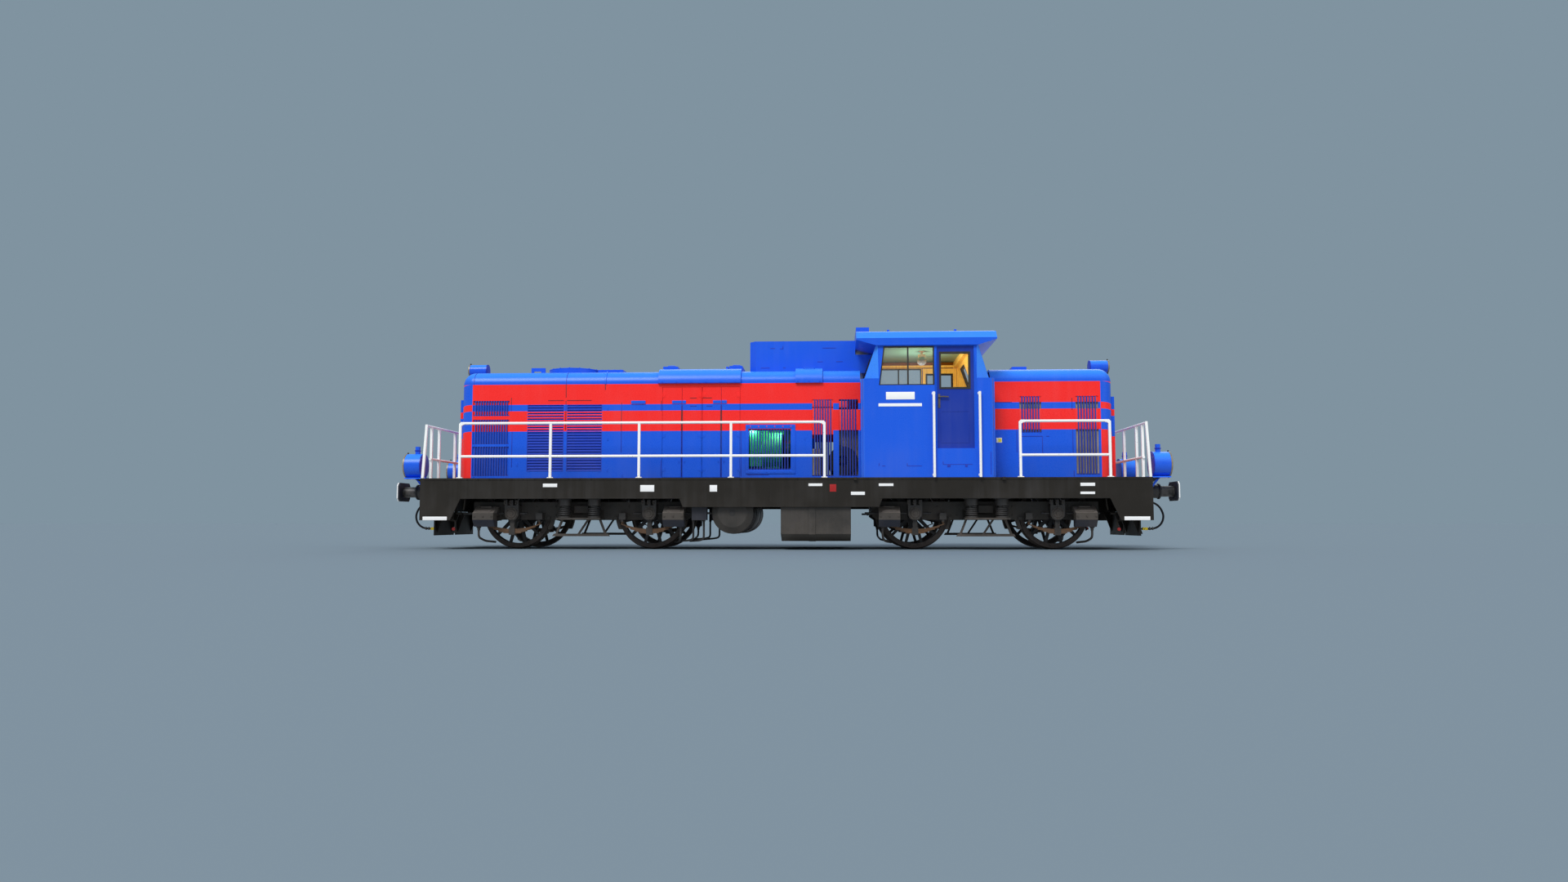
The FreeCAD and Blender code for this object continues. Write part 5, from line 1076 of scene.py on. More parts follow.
# The green is painted near full brightness: painted light standing in for light inside the shaded hood.
enamel = engine_paint.mix(colour("4cf98a"), colour("1f9a4a"), oil_film * 0.4)
enamel = engine_paint.mix(enamel, colour("24513c"), end_bell)
weathered(engine_paint, engine_paint.mix(enamel, colour("1d1c1c"), feet), 0.25)
dress(engine_paint, "engine_block")
castings = Piece()
engine_bolts = []
for side in (-1, 1):
    for k in range(7):
        x = -2.18 + k * 0.262
        castings.block((x, side * 0.468, 1.92), (x + 0.21, side * 0.492, 2.30), 0.012)
        castings.block((x + 0.01, side * 0.468, 1.50), (x + 0.20, side * 0.482, 1.78), 0.010)
        for dx in (0.03, 0.18):
            for z in (1.95, 2.27):
                engine_bolts.append(((x + dx, side * 0.493, z), (0, side, 0)))
    castings.pipe(((-2.28, side * 0.49, 2.36), (-0.30, side * 0.49, 2.36)), 0.028)
    castings.pipe(((-2.28, side * 0.50, 1.85), (-0.30, side * 0.50, 1.85)), 0.016)
    castings.block((0.02, side * 0.40, 1.76), (0.13, side * 0.452, 1.96), 0.02)
    castings.turned(GENERATOR_END, (0.0, side * 0.525, 1.84), "x", 56)
    castings.block((-0.60, side * 0.55, 1.52), (-0.375, side * 0.868, 2.26), 0.012)
    castings.block((-0.56, side * 0.40, 1.43), (-0.05, side * 0.65, 1.53), 0.01)
for x in (-0.24, -0.02, 0.20):
    castings.turned(BAND, (x, 0.0, 1.88), "x", 64, closed=True)
castings.fix("engine_castings", "root", "engine_green", engine_paint)
bolt("engine_bolts", engine_bolts, "root", "engine_green", engine_paint, 0.012, 0.012)


# Roof fittings
# The exhaust silencer box, the engine cover, the fan drum and its duct are folded and welded sheet, bolted
# to the hood tops through rubber strips and painted blue. Soot darkens the sheet round the exhaust outlets.
SILENCER_SIDE = 0.43
SILENCER_TOP = 3.925
FAN = (-4.09, 0.0, 3.422)
OUTLETS = (-0.10, 0.62)
OUTLET_RIM = ((0.130, -0.02), (0.150, -0.02), (0.150, 0.022), (0.142, 0.030), (0.130, 0.030))
# parts of the fan guard: distance from the middle, height
GUARD_SPOKE = ((0.08, 0.056), (0.238, 0.052), (0.488, 0.012))
GUARD_RIM = ((0.478, 0.002), (0.502, 0.002), (0.502, 0.014), (0.478, 0.018))
GUARD_RING = ((0.228, 0.042), (0.244, 0.040), (0.244, 0.052), (0.228, 0.052))
GUARD_HUB = ((0.0, 0.050), (0.090, 0.050), (0.100, 0.056), (0.090, 0.066), (0.0, 0.066))
# short joints on the silencer's sides: first end, second end, height
SILENCER_JOINTS = (
    (0.741, 0.996, 3.790), (0.647, 0.748, 3.527), (1.003, 1.127, 3.527), (-0.248, -0.160, 3.790),
    (-0.066, -0.004, 3.782), (-0.43, -0.26, 3.415), (-0.004, 0.043, 3.415),
)
roof_paint = Finish("roof fittings paint", Specular_IOR_Level=0.25)
outlet_reach = abs(abs(roof_paint.x - 0.26) - 0.36) + abs(roof_paint.y)
on_top = roof_paint.z > SILENCER_TOP - 0.002
sooty = roof_paint.ease(roof_paint.mottle(4.0) * 0.5 - outlet_reach, -0.45, 0.1) * on_top
# Painted paler on upward faces: painted light; the soot round the outlets is real.
weathered(roof_paint, roof_paint.mix(painted_top_light(roof_paint), colour("14161c"), sooty), 0.22, dust=0.0)
dress(roof_paint, "hood_top_fittings")
sheet_seams = Piece()
for side in (-1, 1):
    for x0, x1, z in SILENCER_JOINTS:
        sheet_seams.lay(side, SILENCER_SIDE, (x0, x1), (z - 0.006, z + 0.006), 0.004, 0.002, sink=SINK)
    sheet_seams.lay(side, SILENCER_SIDE, (-0.014, -0.002), (3.776, 3.836), 0.004, 0.002, sink=SINK)
    sheet_seams.block((-2.30, side * 0.986, 3.060), (-0.763, side * 1.003, 3.072), 0.003)
for x in (-1.79, -1.28):
    sheet_seams.block((x - 0.006, -0.70, 3.356), (x + 0.006, 0.70, 3.363), 0.002)
sheet_seams.fix("roof_sheet_seams", "root", "roof_paint", seam_paint)
outlets = Piece()
for x in OUTLETS:
    outlets.turned(OUTLET_RIM, (x, 0.0, SILENCER_TOP), "z", 40, closed=True)
    outlets.disc(0.131, 0.014, (x, 0.0, SILENCER_TOP - 0.010), "z", 40)
    outlets.block((x - 0.13, -0.008, SILENCER_TOP), (x + 0.13, 0.008, SILENCER_TOP + 0.022), 0.003)
outlet_black = Finish("outlet soot black", Specular_IOR_Level=0.2)
ash = outlet_black.mottle(30.0, 5.0)
outlet_black.feed(
    Base_Color=outlet_black.mix(colour("121214"), colour("37322e"), ash * 0.6), Roughness=ash * 0.2 + 0.7,
    Normal=outlet_black.relief(ash, 0.001),
)
outlets.fix("exhaust_outlets", "root", "roof_paint", outlet_black)
guard = Piece()
guard.turned(GUARD_RIM, FAN, "z", 64, closed=True)
guard.turned(GUARD_HUB, FAN, "z", 32)
guard.turned(GUARD_RING, FAN, "z", 48, closed=True)
for turn in around(24):
    bends = [Vector((r * math.cos(turn), r * math.sin(turn), h)) for r, h in GUARD_SPOKE]
    guard.pipe([Vector(FAN) + bend for bend in bends], 0.006, sides=6)
guard.fix("roof_fan_guard", "root", "roof_paint", roof_paint)
roof_bolts = []
for side in (-1, 1):
    cover_edge = [-2.22 + 0.27 * k for k in range(6)] + [0.30, 0.50, 0.70]
    roof_bolts += [((x, side * 1.001, 3.085), (0, side, 0)) for x in cover_edge]
    roof_bolts += [((-4.72 + 0.31 * k, side * 0.56, 3.309), (0, 0, 1)) for k in range(5)]
    for k in range(4):
        roof_bolts.append(((-3.52 + 0.12 * k, side * 0.21, 3.428), (0, 0, 1)))
        roof_bolts.append(((-0.55 + 0.55 * k, side * 0.38, SILENCER_TOP + 0.001), (0, 0, 1)))
for turn in around(16):
    roof_bolts.append(((FAN[0] + 0.49 * math.cos(turn), 0.49 * math.sin(turn), 3.439), (0, 0, 1)))
bolt("roof_bolts", roof_bolts, "root", "roof_paint", roof_paint, 0.010, 0.009)
grips = Piece()
for x, top in ((-2.146, 3.445), (-0.90, 3.451)):
    hoop = ((-0.07, -0.004), (-0.07, 0.035), (0.07, 0.035), (0.07, -0.004))
    for side in (-1, 1):
        grips.pipe([(x + dx, side * 0.34, top + dz) for dx, dz in hoop], 0.007, bend=0.02)
for side in (-1, 1):
    hoop = ((0.40, 0.80, 3.33), (0.40, 0.83, 3.355), (0.60, 0.83, 3.355), (0.60, 0.80, 3.33))
    grips.pipe([(x, side * y, z) for x, y, z in hoop], 0.007, bend=0.02)
grips.fix("roof_hatch_grips", "root", "roof_paint", roof_paint)


# Cab
# The cab is a welded steel house with cut corners, blue outside; the corners and upward faces carry painted
# light. Inside, its walls are panelled in varnished wood with brown mouldings, under a green ceiling; the
# side doors are a darker blue.
CAB_MIDDLE = 2.63
HALF_CAB = 1.19
WAIST = 3.058
END_SET_BACK = 0.06
END_LEAN = 0.35
SIDE_LEAN = 0.05 / 0.6
WALL_FACE = 1.50
ROOM_FACE = 1.401
# first end, second end, lower and upper edge
WHITE_PLATES = ((1.887, 2.397, 2.677, 2.812), (1.752, 2.524, 2.553, 2.607))
CAB_JOINTS = (
    (1.750, 1.762, 1.490, 1.540), (1.810, 1.864, 1.484, 1.496), (2.249, 2.261, 1.484, 1.540),
    (2.255, 2.514, 1.484, 1.494), (2.883, 2.895, 1.517, 1.567), (2.889, 3.406, 1.510, 1.520),
    (2.960, 3.017, 1.465, 1.510), (3.276, 3.319, 1.465, 1.510), (3.724, 3.736, 1.334, 1.739),
)


def cab_depths(finish):
    """How far a place lies inside the cab's end wall and side wall, and how high above the waist it is."""
    upper = (finish.z - WAIST).sum("MAXIMUM", finish.z - WAIST, 0.0)
    set_back = END_SET_BACK * (finish.z > WAIST - 0.001)
    end_depth = HALF_CAB - set_back - upper * END_LEAN - abs(finish.x - CAB_MIDDLE)
    side_depth = WALL_FACE - upper * SIDE_LEAN - abs(finish.y)
    return end_depth, side_depth, upper


def cab_room(finish):
    """True on the inner faces of the cab's walls, whose corners are cut off above the waist."""
    end_depth, side_depth, upper = cab_depths(finish)
    below = finish.z < WAIST - 0.001
    inner_corner = (end_depth + side_depth + upper * 0.346 > 0.285) + below
    return (end_depth > 0.035) * (abs(finish.y) < ROOM_FACE) * (inner_corner > 0.5)


def cut_corner(finish):
    """True on the outer faces of the cut corners."""
    end_depth, side_depth, upper = cab_depths(finish)
    low = finish.z < WAIST - 0.001
    width = 0.26 - upper * 0.3667 - low * 0.195
    return (end_depth + side_depth < width + 0.003) * (end_depth > 0.002) * (side_depth > 0.002)


def varnish(finish):
    """Varnished wood with its grain upright."""
    grain = finish.mottle(9.0, 4.0, (6.0, 6.0, 0.5))
    return finish.mix(colour("ffcb58"), colour("d08434"), finish.ease(grain, 0.35, 0.75) * 0.6)


cab_paint = Finish("cab paint", Specular_IOR_Level=0.25)
# The cut corners are painted paler blue, palest above the waist: painted light on faces that catch the key
# lamp.
painted_corner_light = cab_paint.mix(colour("2c6eee"), colour("3f92ff"), cab_paint.z > WAIST)
outside = cab_paint.mix(painted_top_light(cab_paint), painted_corner_light, cut_corner(cab_paint))
cab_colour = cab_paint.mix(outside, varnish(cab_paint), cab_room(cab_paint))
weathered(cab_paint, cab_colour, 0.2, dust=0.25, dust_top=1.9)
dress(cab_paint, "cab_wall_left", "cab_wall_right", "cab_wall_front", "cab_wall_rear")
cab_roof_paint = Finish("cab roof paint", Specular_IOR_Level=0.25)
under_roof = (abs(cab_roof_paint.y) < ROOM_FACE) * (abs(cab_roof_paint.x - CAB_MIDDLE) < 0.89)
under_roof = under_roof * (cab_roof_paint.z < 3.779)
lining = cab_roof_paint.mix(varnish(cab_roof_paint), colour("64886a"), cab_roof_paint.z > 3.774)
# The roof outside is painted paler on upward faces: painted light.
weathered(cab_roof_paint, cab_roof_paint.mix(painted_top_light(cab_roof_paint), lining, under_roof), 0.22, dust=0.0)
dress(cab_roof_paint, "cab_roof")
brown_trim = Finish("brown moulding")
wood_brown = brown_trim.mix(colour("8a4800"), colour("5a3000"), brown_trim.mottle(14.0))
weathered(brown_trim, wood_brown, 0.3, dust=0.0)
cab_seams = Piece()
white_plates = Piece()
mouldings = Piece()
gutters = Piece()
for side in (-1, 1):
    for x0, x1, low, high in CAB_JOINTS:
        cab_seams.lay(side, WALL_FACE, (x0, x1), (low, high), SEAM_H, sink=SINK)
    for x0, x1, low, high in WHITE_PLATES:
        white_plates.lay(side, WALL_FACE, (x0, x1), (low, high), 0.004, 0.002, sink=SINK)
    mouldings.block((1.86, side * 1.398, 3.712), (3.40, side * 1.372, 3.774), 0.006)
    mouldings.block((1.86, side * 1.398, 3.650), (3.40, side * 1.388, 3.664), 0.003)
    mouldings.block((2.762, side * 1.398, 1.80), (2.772, side * 1.389, 3.66), 0.002)
    gutter = ((1.72, 1.462, 3.664), (1.80, 1.468, 3.652), (3.46, 1.468, 3.652), (3.54, 1.462, 3.664))
    gutters.pipe([(x, side * y, z) for x, y, z in gutter], 0.008, bend=0.03)
    for along in (-1, 1):
        corner = CAB_MIDDLE + along * (HALF_CAB - 0.0325)
        cab_seams.block((corner - 0.004, side * 1.464, 1.30), (corner + 0.004, side * 1.4705, 3.05), 0.001)
cab_seams.fix("cab_side_seams", "root", "cab_paint", seam_paint)
plate_white = weathered(Finish("plate white"), colour("fbfbf8"), 0.3, dust=0.1)
white_plates.fix("cab_white_plates", "root", "rail_white", plate_white)
mouldings.fix("cab_mouldings", "root", "cab_paint", brown_trim)
gutters.fix("cab_gutters", "root", "cab_paint", cab_paint)
eye_plates = Piece()
for x in (1.9685, 3.2055):
    for y in (-0.80, 0.80):
        eye_plates.block((x - 0.07, y - 0.06, 3.985), (x + 0.07, y + 0.06, 4.002), 0.004)
eye_plates.fix("roof_eye_plates", "root", "roof_paint", cab_roof_paint)
roof_rows = [((1.50 + 0.25 * k, side * 1.501, 3.722), (0, side, 0)) for side in (-1, 1) for k in range(10)]
bolt("cab_roof_rivets", roof_rows, "root", "roof_paint", cab_roof_paint, 0.007, 0.005)


# Cab windows
# Flat safety glass is held in black rubber and iron frames, with one upright bar in each side window. The
# end windows lie in the sloping walls and have a wiper each.
# corners: along, height
SIDE_WINDOW = ((1.763, 2.935), (2.753, 2.935), (2.753, 3.644), (1.851, 3.644))
# corners: distance from the middle, height
END_WINDOW = ((0.47, 3.12), (1.15, 3.12), (1.15, 3.60), (0.47, 3.60))
# wiper: distance from the middle, height, depth from the wall's face
WIPER_ARM = ((0.62, 3.10, -0.012), (0.66, 3.14, -0.030), (0.86, 3.50, -0.030))
WIPER_BLADE = ((0.74, 3.30, -0.016), (0.93, 3.56, -0.016))


def inset(outline, depth):
    """The same outline with every edge moved in; its corners run anticlockwise."""
    lines = []
    for (ax, az), (bx, bz) in zip(outline, outline[1:] + outline[:1]):
        length = math.hypot(bx - ax, bz - az)
        nx, nz = -(bz - az) / length, (bx - ax) / length
        lines.append(((ax + nx * depth, az + nz * depth), (bx - ax, bz - az)))
    corners = []
    for (p, d), (q, e) in zip(lines[-1:] + lines[:-1], lines):
        share = ((q[0] - p[0]) * e[1] - (q[1] - p[1]) * e[0]) / (d[0] * e[1] - d[1] * e[0])
        corners.append((p[0] + d[0] * share, p[1] + d[1] * share))
    return corners


def slope_x(z):
    """Outer face of a sloping end wall, as the distance from the middle of the cab."""
    return HALF_CAB - END_SET_BACK - (z - WAIST) * END_LEAN


def window_rim(piece, outer, width, near, far):
    """A flat rim round an upright window, between two distances from the middle."""
    inner = inset(outer, width)
    corners = ((outer, near), (outer, far), (inner, far), (inner, near))
    piece.shell([[(x, y, z) for x, z in ring] for ring, y in corners], closed=True)


def on_end_wall(along, side, y, z, depth):
    """A place on a sloping end wall, at a depth from its face."""
    return (CAB_MIDDLE + along * (slope_x(z) - depth), side * y, z)


glass = Finish("cab glass", Base_Color=(0.45, 0.54, 0.56, 1.0), Specular_IOR_Level=0.6)
smear = glass.ease(glass.mottle(2.6, 5.0, (1.0, 1.0, 0.6)), 0.45, 0.8)
glass.feed(Alpha=smear * 0.06 + 0.04, Roughness=smear * 0.15 + 0.03)
dress(glass, "cab_glass")
frame_iron = weathered(Finish("window frame black"), colour("2a2622"), 0.45, dust=0.0)
frames = Piece()
for side in (-1, 1):
    window_rim(frames, SIDE_WINDOW, 0.022, side * 1.405, side * 1.462)
    frames.block((2.272, side * 1.406, 2.95), (2.298, side * 1.450, 3.63), 0.004)
    for along in (-1, 1):
        inner = inset(END_WINDOW, 0.024)
        frames.shell([
            [on_end_wall(along, side, y, z, depth) for y, z in ring]
            for ring, depth in ((END_WINDOW, 0.055), (END_WINDOW, -0.006), (inner, -0.006), (inner, 0.055))
        ], closed=True)
        frames.pipe([on_end_wall(along, side, *p) for p in WIPER_ARM], 0.008, bend=0.02)
        frames.pipe([on_end_wall(along, side, *p) for p in WIPER_BLADE], 0.009)
frames.fix("window_frames", "root", "window_glass", frame_iron)


# Cab doors
# Each side door is one steel leaf with a fixed window, hung inside its frame on the rear edge and opened
# with a bronze lever on a long plate.
DOOR_FACE = 1.4397
DOOR_WINDOW = ((2.840, 2.867), (3.396, 2.867), (3.396, 3.541), (2.840, 3.541))
# first end, second end, lower edge, upper edge
PANEL_BEADS = (
    (2.86, 3.37, 1.90, 1.915), (2.86, 3.37, 2.46, 2.475), (2.86, 2.875, 1.915, 2.46),
    (3.355, 3.37, 1.915, 2.46),
)
HANDLE_X = 2.837
HANDLE_Z = 2.724
HANDLE_ROSE = ((0.0, 0.0), (0.022, 0.0), (0.022, 0.012), (0.013, 0.018), (0.013, 0.034), (0.0, 0.034))
door_paint = Finish("door paint", Specular_IOR_Level=0.25)
inner_face = abs(door_paint.y) < 1.396
door_colour = door_paint.mix(colour("1a389e"), varnish(door_paint), inner_face)
weathered(door_paint, door_colour, 0.25, dust=0.2, dust_top=2.2)
dress(door_paint, "cab_door_left", "cab_door_right")
door_iron = weathered(Finish("door handle bronze", Metallic=0.3), colour("5f564b"), 0.35, dust=0.0)
for side, word in ((-1, "left"), (1, "right")):
    body = "cab_door_" + word
    face = side * DOOR_FACE
    rim = Piece()
    for near, far in ((face, side * 1.449), (side * 1.386, side * 1.396)):
        window_rim(rim, DOOR_WINDOW, 0.034, near, far)
    rim.fix(body + "_window_rim", body, "door_paint", frame_iron)
    ribs = Piece()
    for x0, x1, low, high in PANEL_BEADS:
        ribs.lay(side, DOOR_FACE, (x0, x1), (low, high), 0.004, 0.0015)
    ribs.fix(body + "_panel_beads", body, "door_paint", door_paint)
    handle = Piece()
    handle.lay(side, DOOR_FACE, (2.818, 2.856), (2.527, 2.777), 0.008, 0.004)
    handle.turned(HANDLE_ROSE, (HANDLE_X, face + side * 0.006, HANDLE_Z), "y", 24, way=side)
    lever = ((HANDLE_X, 0.034, HANDLE_Z), (2.90, 0.038, 2.728), (3.000, 0.034, 2.722))
    handle.pipe([(x, face + side * y, z) for x, y, z in lever], 0.013, bend=0.03)
    handle.disc(0.010, 0.010, (HANDLE_X, face + side * 0.008, 2.575), "y", 16, way=side)
    handle.fix(body + "_handle", body, "door_paint", door_iron)


# Cab inside
# The driving desks are green-painted steel with a black top, round dials and brass-tipped levers. The seats
# stand on single black columns, and a globe lamp with a cream cap hangs from the ceiling; its globe darkens
# towards the bottom as painted shade.
# profiles of what stands on the desks: radius, height
DIAL_RIM = ((0.052, -0.02), (0.066, -0.02), (0.066, 0.012), (0.058, 0.020), (0.052, 0.014))
LEVER_KNOB = ((0.0, 0.0), (0.016, 0.004), (0.020, 0.018), (0.014, 0.034), (0.0, 0.038))
LEVER_BASE = ((0.0, 0.0), (0.085, 0.0), (0.085, 0.02), (0.03, 0.035), (0.03, 0.06), (0.0, 0.06))
GLOBE = (2.65, 0.0, 3.598)
GLOBE_R = 0.095
GLOBE_CAP = (
    (0.0, 0.060), (0.070, 0.060), (0.074, 0.072), (0.070, 0.118), (0.030, 0.128), (0.020, 0.140),
    (0.020, 0.176), (0.060, 0.178), (0.0, 0.178),
)
desk_paint = Finish("desk paint")
seat_zone = (abs(desk_paint.y) > 0.60) * desk_paint.between(desk_paint.x, 2.15, 2.75)
desk_top = (desk_paint.z > 2.60) * (1 - seat_zone)
desk_colour = desk_paint.mix(colour("2fb457"), colour("2a2d2b"), desk_top)
weathered(desk_paint, desk_paint.mix(desk_colour, colour("1b1b1d"), seat_zone), 0.35, dust=0.0)
dress(desk_paint, "drivers_desk")
dial_black = weathered(Finish("dial black"), colour("151618"), 0.2, dust=0.0)
dial_white = weathered(Finish("dial face white"), colour("eceadf"), 0.3, dust=0.0)
brass = weathered(Finish("lever brass", Metallic=0.8), colour("b98f45"), 0.25, dust=0.0)
bezels, faces, levers = Piece(), Piece(), Piece()
for k in range(6):
    y = -0.55 + 0.22 * k
    bezels.turned(DIAL_RIM, (1.69, y, 2.843), "z", 32, closed=True)
    faces.disc(0.053, 0.028, (1.69, y, 2.823), "z", 32)
    bezels.block((1.665, y - 0.002, 2.8512), (1.715, y + 0.002, 2.8535), 0.0)
    levers.pipe(((1.90, y + 0.05, 2.73), (1.915, y + 0.05, 2.80)), 0.008)
    levers.turned(LEVER_KNOB, (1.916, y + 0.05, 2.795), "z", 16)
for y in (-0.40, 0.40):
    bezels.turned(LEVER_BASE, (1.80, y, 2.80), "z", 32)
    levers.pipe(((1.80, y, 2.85), (1.88, y, 2.865), (1.95, y, 2.865)), 0.009, bend=0.02)
    faces.block((3.52, y - 0.12, 2.818), (3.62, y + 0.12, 2.826), 0.003)
bezels.fix("desk_dial_rims", "root", "desk_green", dial_black)
faces.fix("desk_dial_faces", "root", "desk_green", dial_white)
levers.fix("desk_levers", "root", "desk_green", brass)


# Seat pads
# Each seat has a cushion and a back of foam in a brown vinyl cover. The covers are swollen by the foam, held
# at their seams and closed with a sewn welt.
SEAT_SPOTS = (("left", -0.85), ("right", 0.85))
PAD_EDGE = 0.026
SEAM_SET = 0.0076
WELT_R = 0.0048
MESH_STEP = 0.0075
AIR_PRESSURE = 14.0
SETTLE_FRAMES = 20
welts = Piece()


def cushion(name, low, high, swell):
    """A foam pad swollen in its vinyl cover, held at the seams, with a welt sewn along both of them."""
    low, high = Vector(low), Vector(high)
    middle, half = (low + high) / 2, (high - low) / 2
    thin = min(range(3), key=lambda a: half[a])
    wide = [a for a in range(3) if a != thin]
    block = bmesh.new()
    bmesh.ops.create_cube(block, size=2.0)
    for v in block.verts:
        v.co = middle + Vector([v.co[a] * half[a] for a in range(3)])
    bmesh.ops.bevel(block, geom=block.edges[:], offset=PAD_EDGE, segments=5, profile=0.5, affect="EDGES")
    mesh = bpy.data.meshes.new(name)
    block.to_mesh(mesh)
    block.free()
    pad = bpy.data.objects.new(name, mesh)
    bpy.context.scene.collection.objects.link(pad)
    remesh = pad.modifiers.new("even mesh", "REMESH")
    remesh.mode = "VOXEL"
    remesh.voxel_size = MESH_STEP
    pad.data = bpy.data.meshes.new_from_object(pad.evaluated_get(bpy.context.evaluated_depsgraph_get()))
    pad.modifiers.clear()
    before = [v.co.copy() for v in pad.data.vertices]
    seam = pad.vertex_groups.new(name="seam")
    for v in pad.data.vertices:
        off = [abs(abs(v.co[a] - middle[a]) - (half[a] - SEAM_SET)) < 0.006 for a in range(3)]
        if off[thin] and (off[wide[0]] or off[wide[1]]):
            seam.add([v.index], 1.0, "REPLACE")
    cover = pad.modifiers.new("cover", "CLOTH")
    cover.settings.use_pressure = True
    cover.settings.uniform_pressure_force = AIR_PRESSURE
    cover.settings.effector_weights.gravity = 0.0
    cover.settings.vertex_group_mass = "seam"
    for frame_number in range(1, SETTLE_FRAMES + 1):
        bpy.context.scene.frame_set(frame_number)
    pad.data = bpy.data.meshes.new_from_object(pad.evaluated_get(bpy.context.evaluated_depsgraph_get()))
    pad.modifiers.clear()
    bpy.context.scene.frame_set(1)
    for v, start in zip(pad.data.vertices, before):
        moved = v.co - start
        if moved.length > swell:
            v.co = start + moved.normalized() * swell
    pad.vertex_groups.clear()
    pad.data.materials.clear()
    pad.data.materials.append(vinyl.material)
    pad.data.shade_smooth()
    for level in (-1, 1):
        route = []
        for i, j in ((0, -1), (1, -1), (1, 1), (-1, 1), (-1, -1), (0, -1)):
            corner = middle.copy()
            corner[thin] += level * (half[thin] - SEAM_SET)
            corner[wide[0]] += i * (half[wide[0]] - SEAM_SET)
            corner[wide[1]] += j * (half[wide[1]] - SEAM_SET)
            route.append(corner)
        welts.pipe(route, WELT_R, bend=PAD_EDGE * 0.7, sides=8)
    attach(pad, "root")


vinyl = Finish("seat vinyl", Specular_IOR_Level=0.4)
hide = vinyl.node(
    "ShaderNodeTexVoronoi", {"feature": "DISTANCE_TO_EDGE"}, {"Vector": vinyl.spot, "Scale": 260.0}
)
crease = vinyl.mottle(9.0, 4.0)
vinyl.feed(
    Base_Color=vinyl.mix(colour("3a2a22"), colour("5a4335"), crease),
    Roughness=crease * 0.2 + 0.4,
    Normal=vinyl.relief(vinyl.ease(hide, 0.0, 0.12) + crease * 0.6, 0.001),
)
for word, y in SEAT_SPOTS:
    cushion("seat_pad_" + word, (2.190, y - 0.230, 2.222), (2.650, y + 0.230, 2.342), 0.026)
    cushion("seat_back_" + word, (2.588, y - 0.220, 2.350), (2.692, y + 0.220, 2.832), 0.020)
welts.fix("seat_welts", "root", "desk_green", vinyl)
lamp_glass = Finish("lamp globe", Metallic=0.4)
swirl = lamp_glass.mottle(7.0)
# The globe is painted pale at the top and dark at the bottom: painted shade.
lamp_glass.feed(
    Base_Color=lamp_glass.mix(colour("a39e96"), colour("3e3b39"), lamp_glass.ease(lamp_glass.z, 3.64, 3.50)),
    Roughness=swirl * 0.1 + 0.12,
)
lamp_cap = weathered(Finish("lamp cap cream"), colour("ffdcbe"), 0.35, dust=0.0)
globe = Piece()
turns = [math.radians(t) for t in range(15, 150, 12)]
bulb = [(0.0, -GLOBE_R)] + [(GLOBE_R * math.sin(t), -GLOBE_R * math.cos(t)) for t in turns]
globe.turned(bulb + [(0.045, 0.088), (0.0, 0.088)], GLOBE, "z", 40)
globe.fix("ceiling_lamp_globe", "root", "window_glass", lamp_glass)
cap = Piece()
cap.turned(GLOBE_CAP, GLOBE, "z", 32)
cap.fix("ceiling_lamp_cap", "root", "cab_paint", lamp_cap)


# Lamps
# One head lamp on each hood and a large marker lamp on a shelf at each corner have pressed drums in bright
# blue, a rear flange in dark blue as painted shade, and a domed lens in a tan ring with a catch. A vent knob
# tops each marker lamp.
# lens face and back along, height, radius
HEAD_LAMP = (6.170, 5.840, 3.458, 0.118)
MARKER = (6.930, 6.640, 1.529, 0.224)
MARKER_Y = 1.10
VENT_KNOB = ((0.040, 0.0), (0.058, 0.004), (0.058, 0.020), (0.046, 0.026), (0.040, 0.024))
# a gusset's corner under the shelf, and the width and height of its curved edge
GUSSET = (6.542, 1.03)
GUSSET_SIZE = (0.27, 0.254)
lamp_paint = Finish("lamp blue", Specular_IOR_Level=0.3)
on_shelf = lamp_paint.z < 1.312
# The drums are painted paler on upward faces: painted light.
weathered(lamp_paint, lamp_paint.mix(painted_top_light(lamp_paint), colour("1b6bff"), on_shelf), 0.2, dust=0.1)
dress(lamp_paint, "lamps")
# The rear flange is painted the dark blue of shaded faces: painted shade.
painted_shade_flange_blue = weathered(Finish("lamp flange blue"), colour("0a2fae"), 0.3, dust=0.0)
ring_tan = Finish("lens ring tan", Metallic=0.2)
weathered(ring_tan, ring_tan.mix(colour("b0a080"), colour("6a5a48"), ring_tan.mottle(12.0)), 0.3, dust=0.0)
lens_glass = Finish("lens glass", Specular_IOR_Level=0.8)
flutes = lens_glass.node(
    "ShaderNodeTexWave", {"wave_type": "BANDS", "bands_direction": "Y"},
    {"Vector": lens_glass.spot, "Scale": 22.0}, out=1,
)
lens_glass.feed(
    Base_Color=lens_glass.mix(colour("d9dde0"), colour("8f979c"), flutes), Roughness=flutes * 0.1 + 0.06,
    Normal=lens_glass.relief(flutes, 0.002),
)
flanges, rings, lenses, irons = Piece(), Piece(), Piece(), Piece()
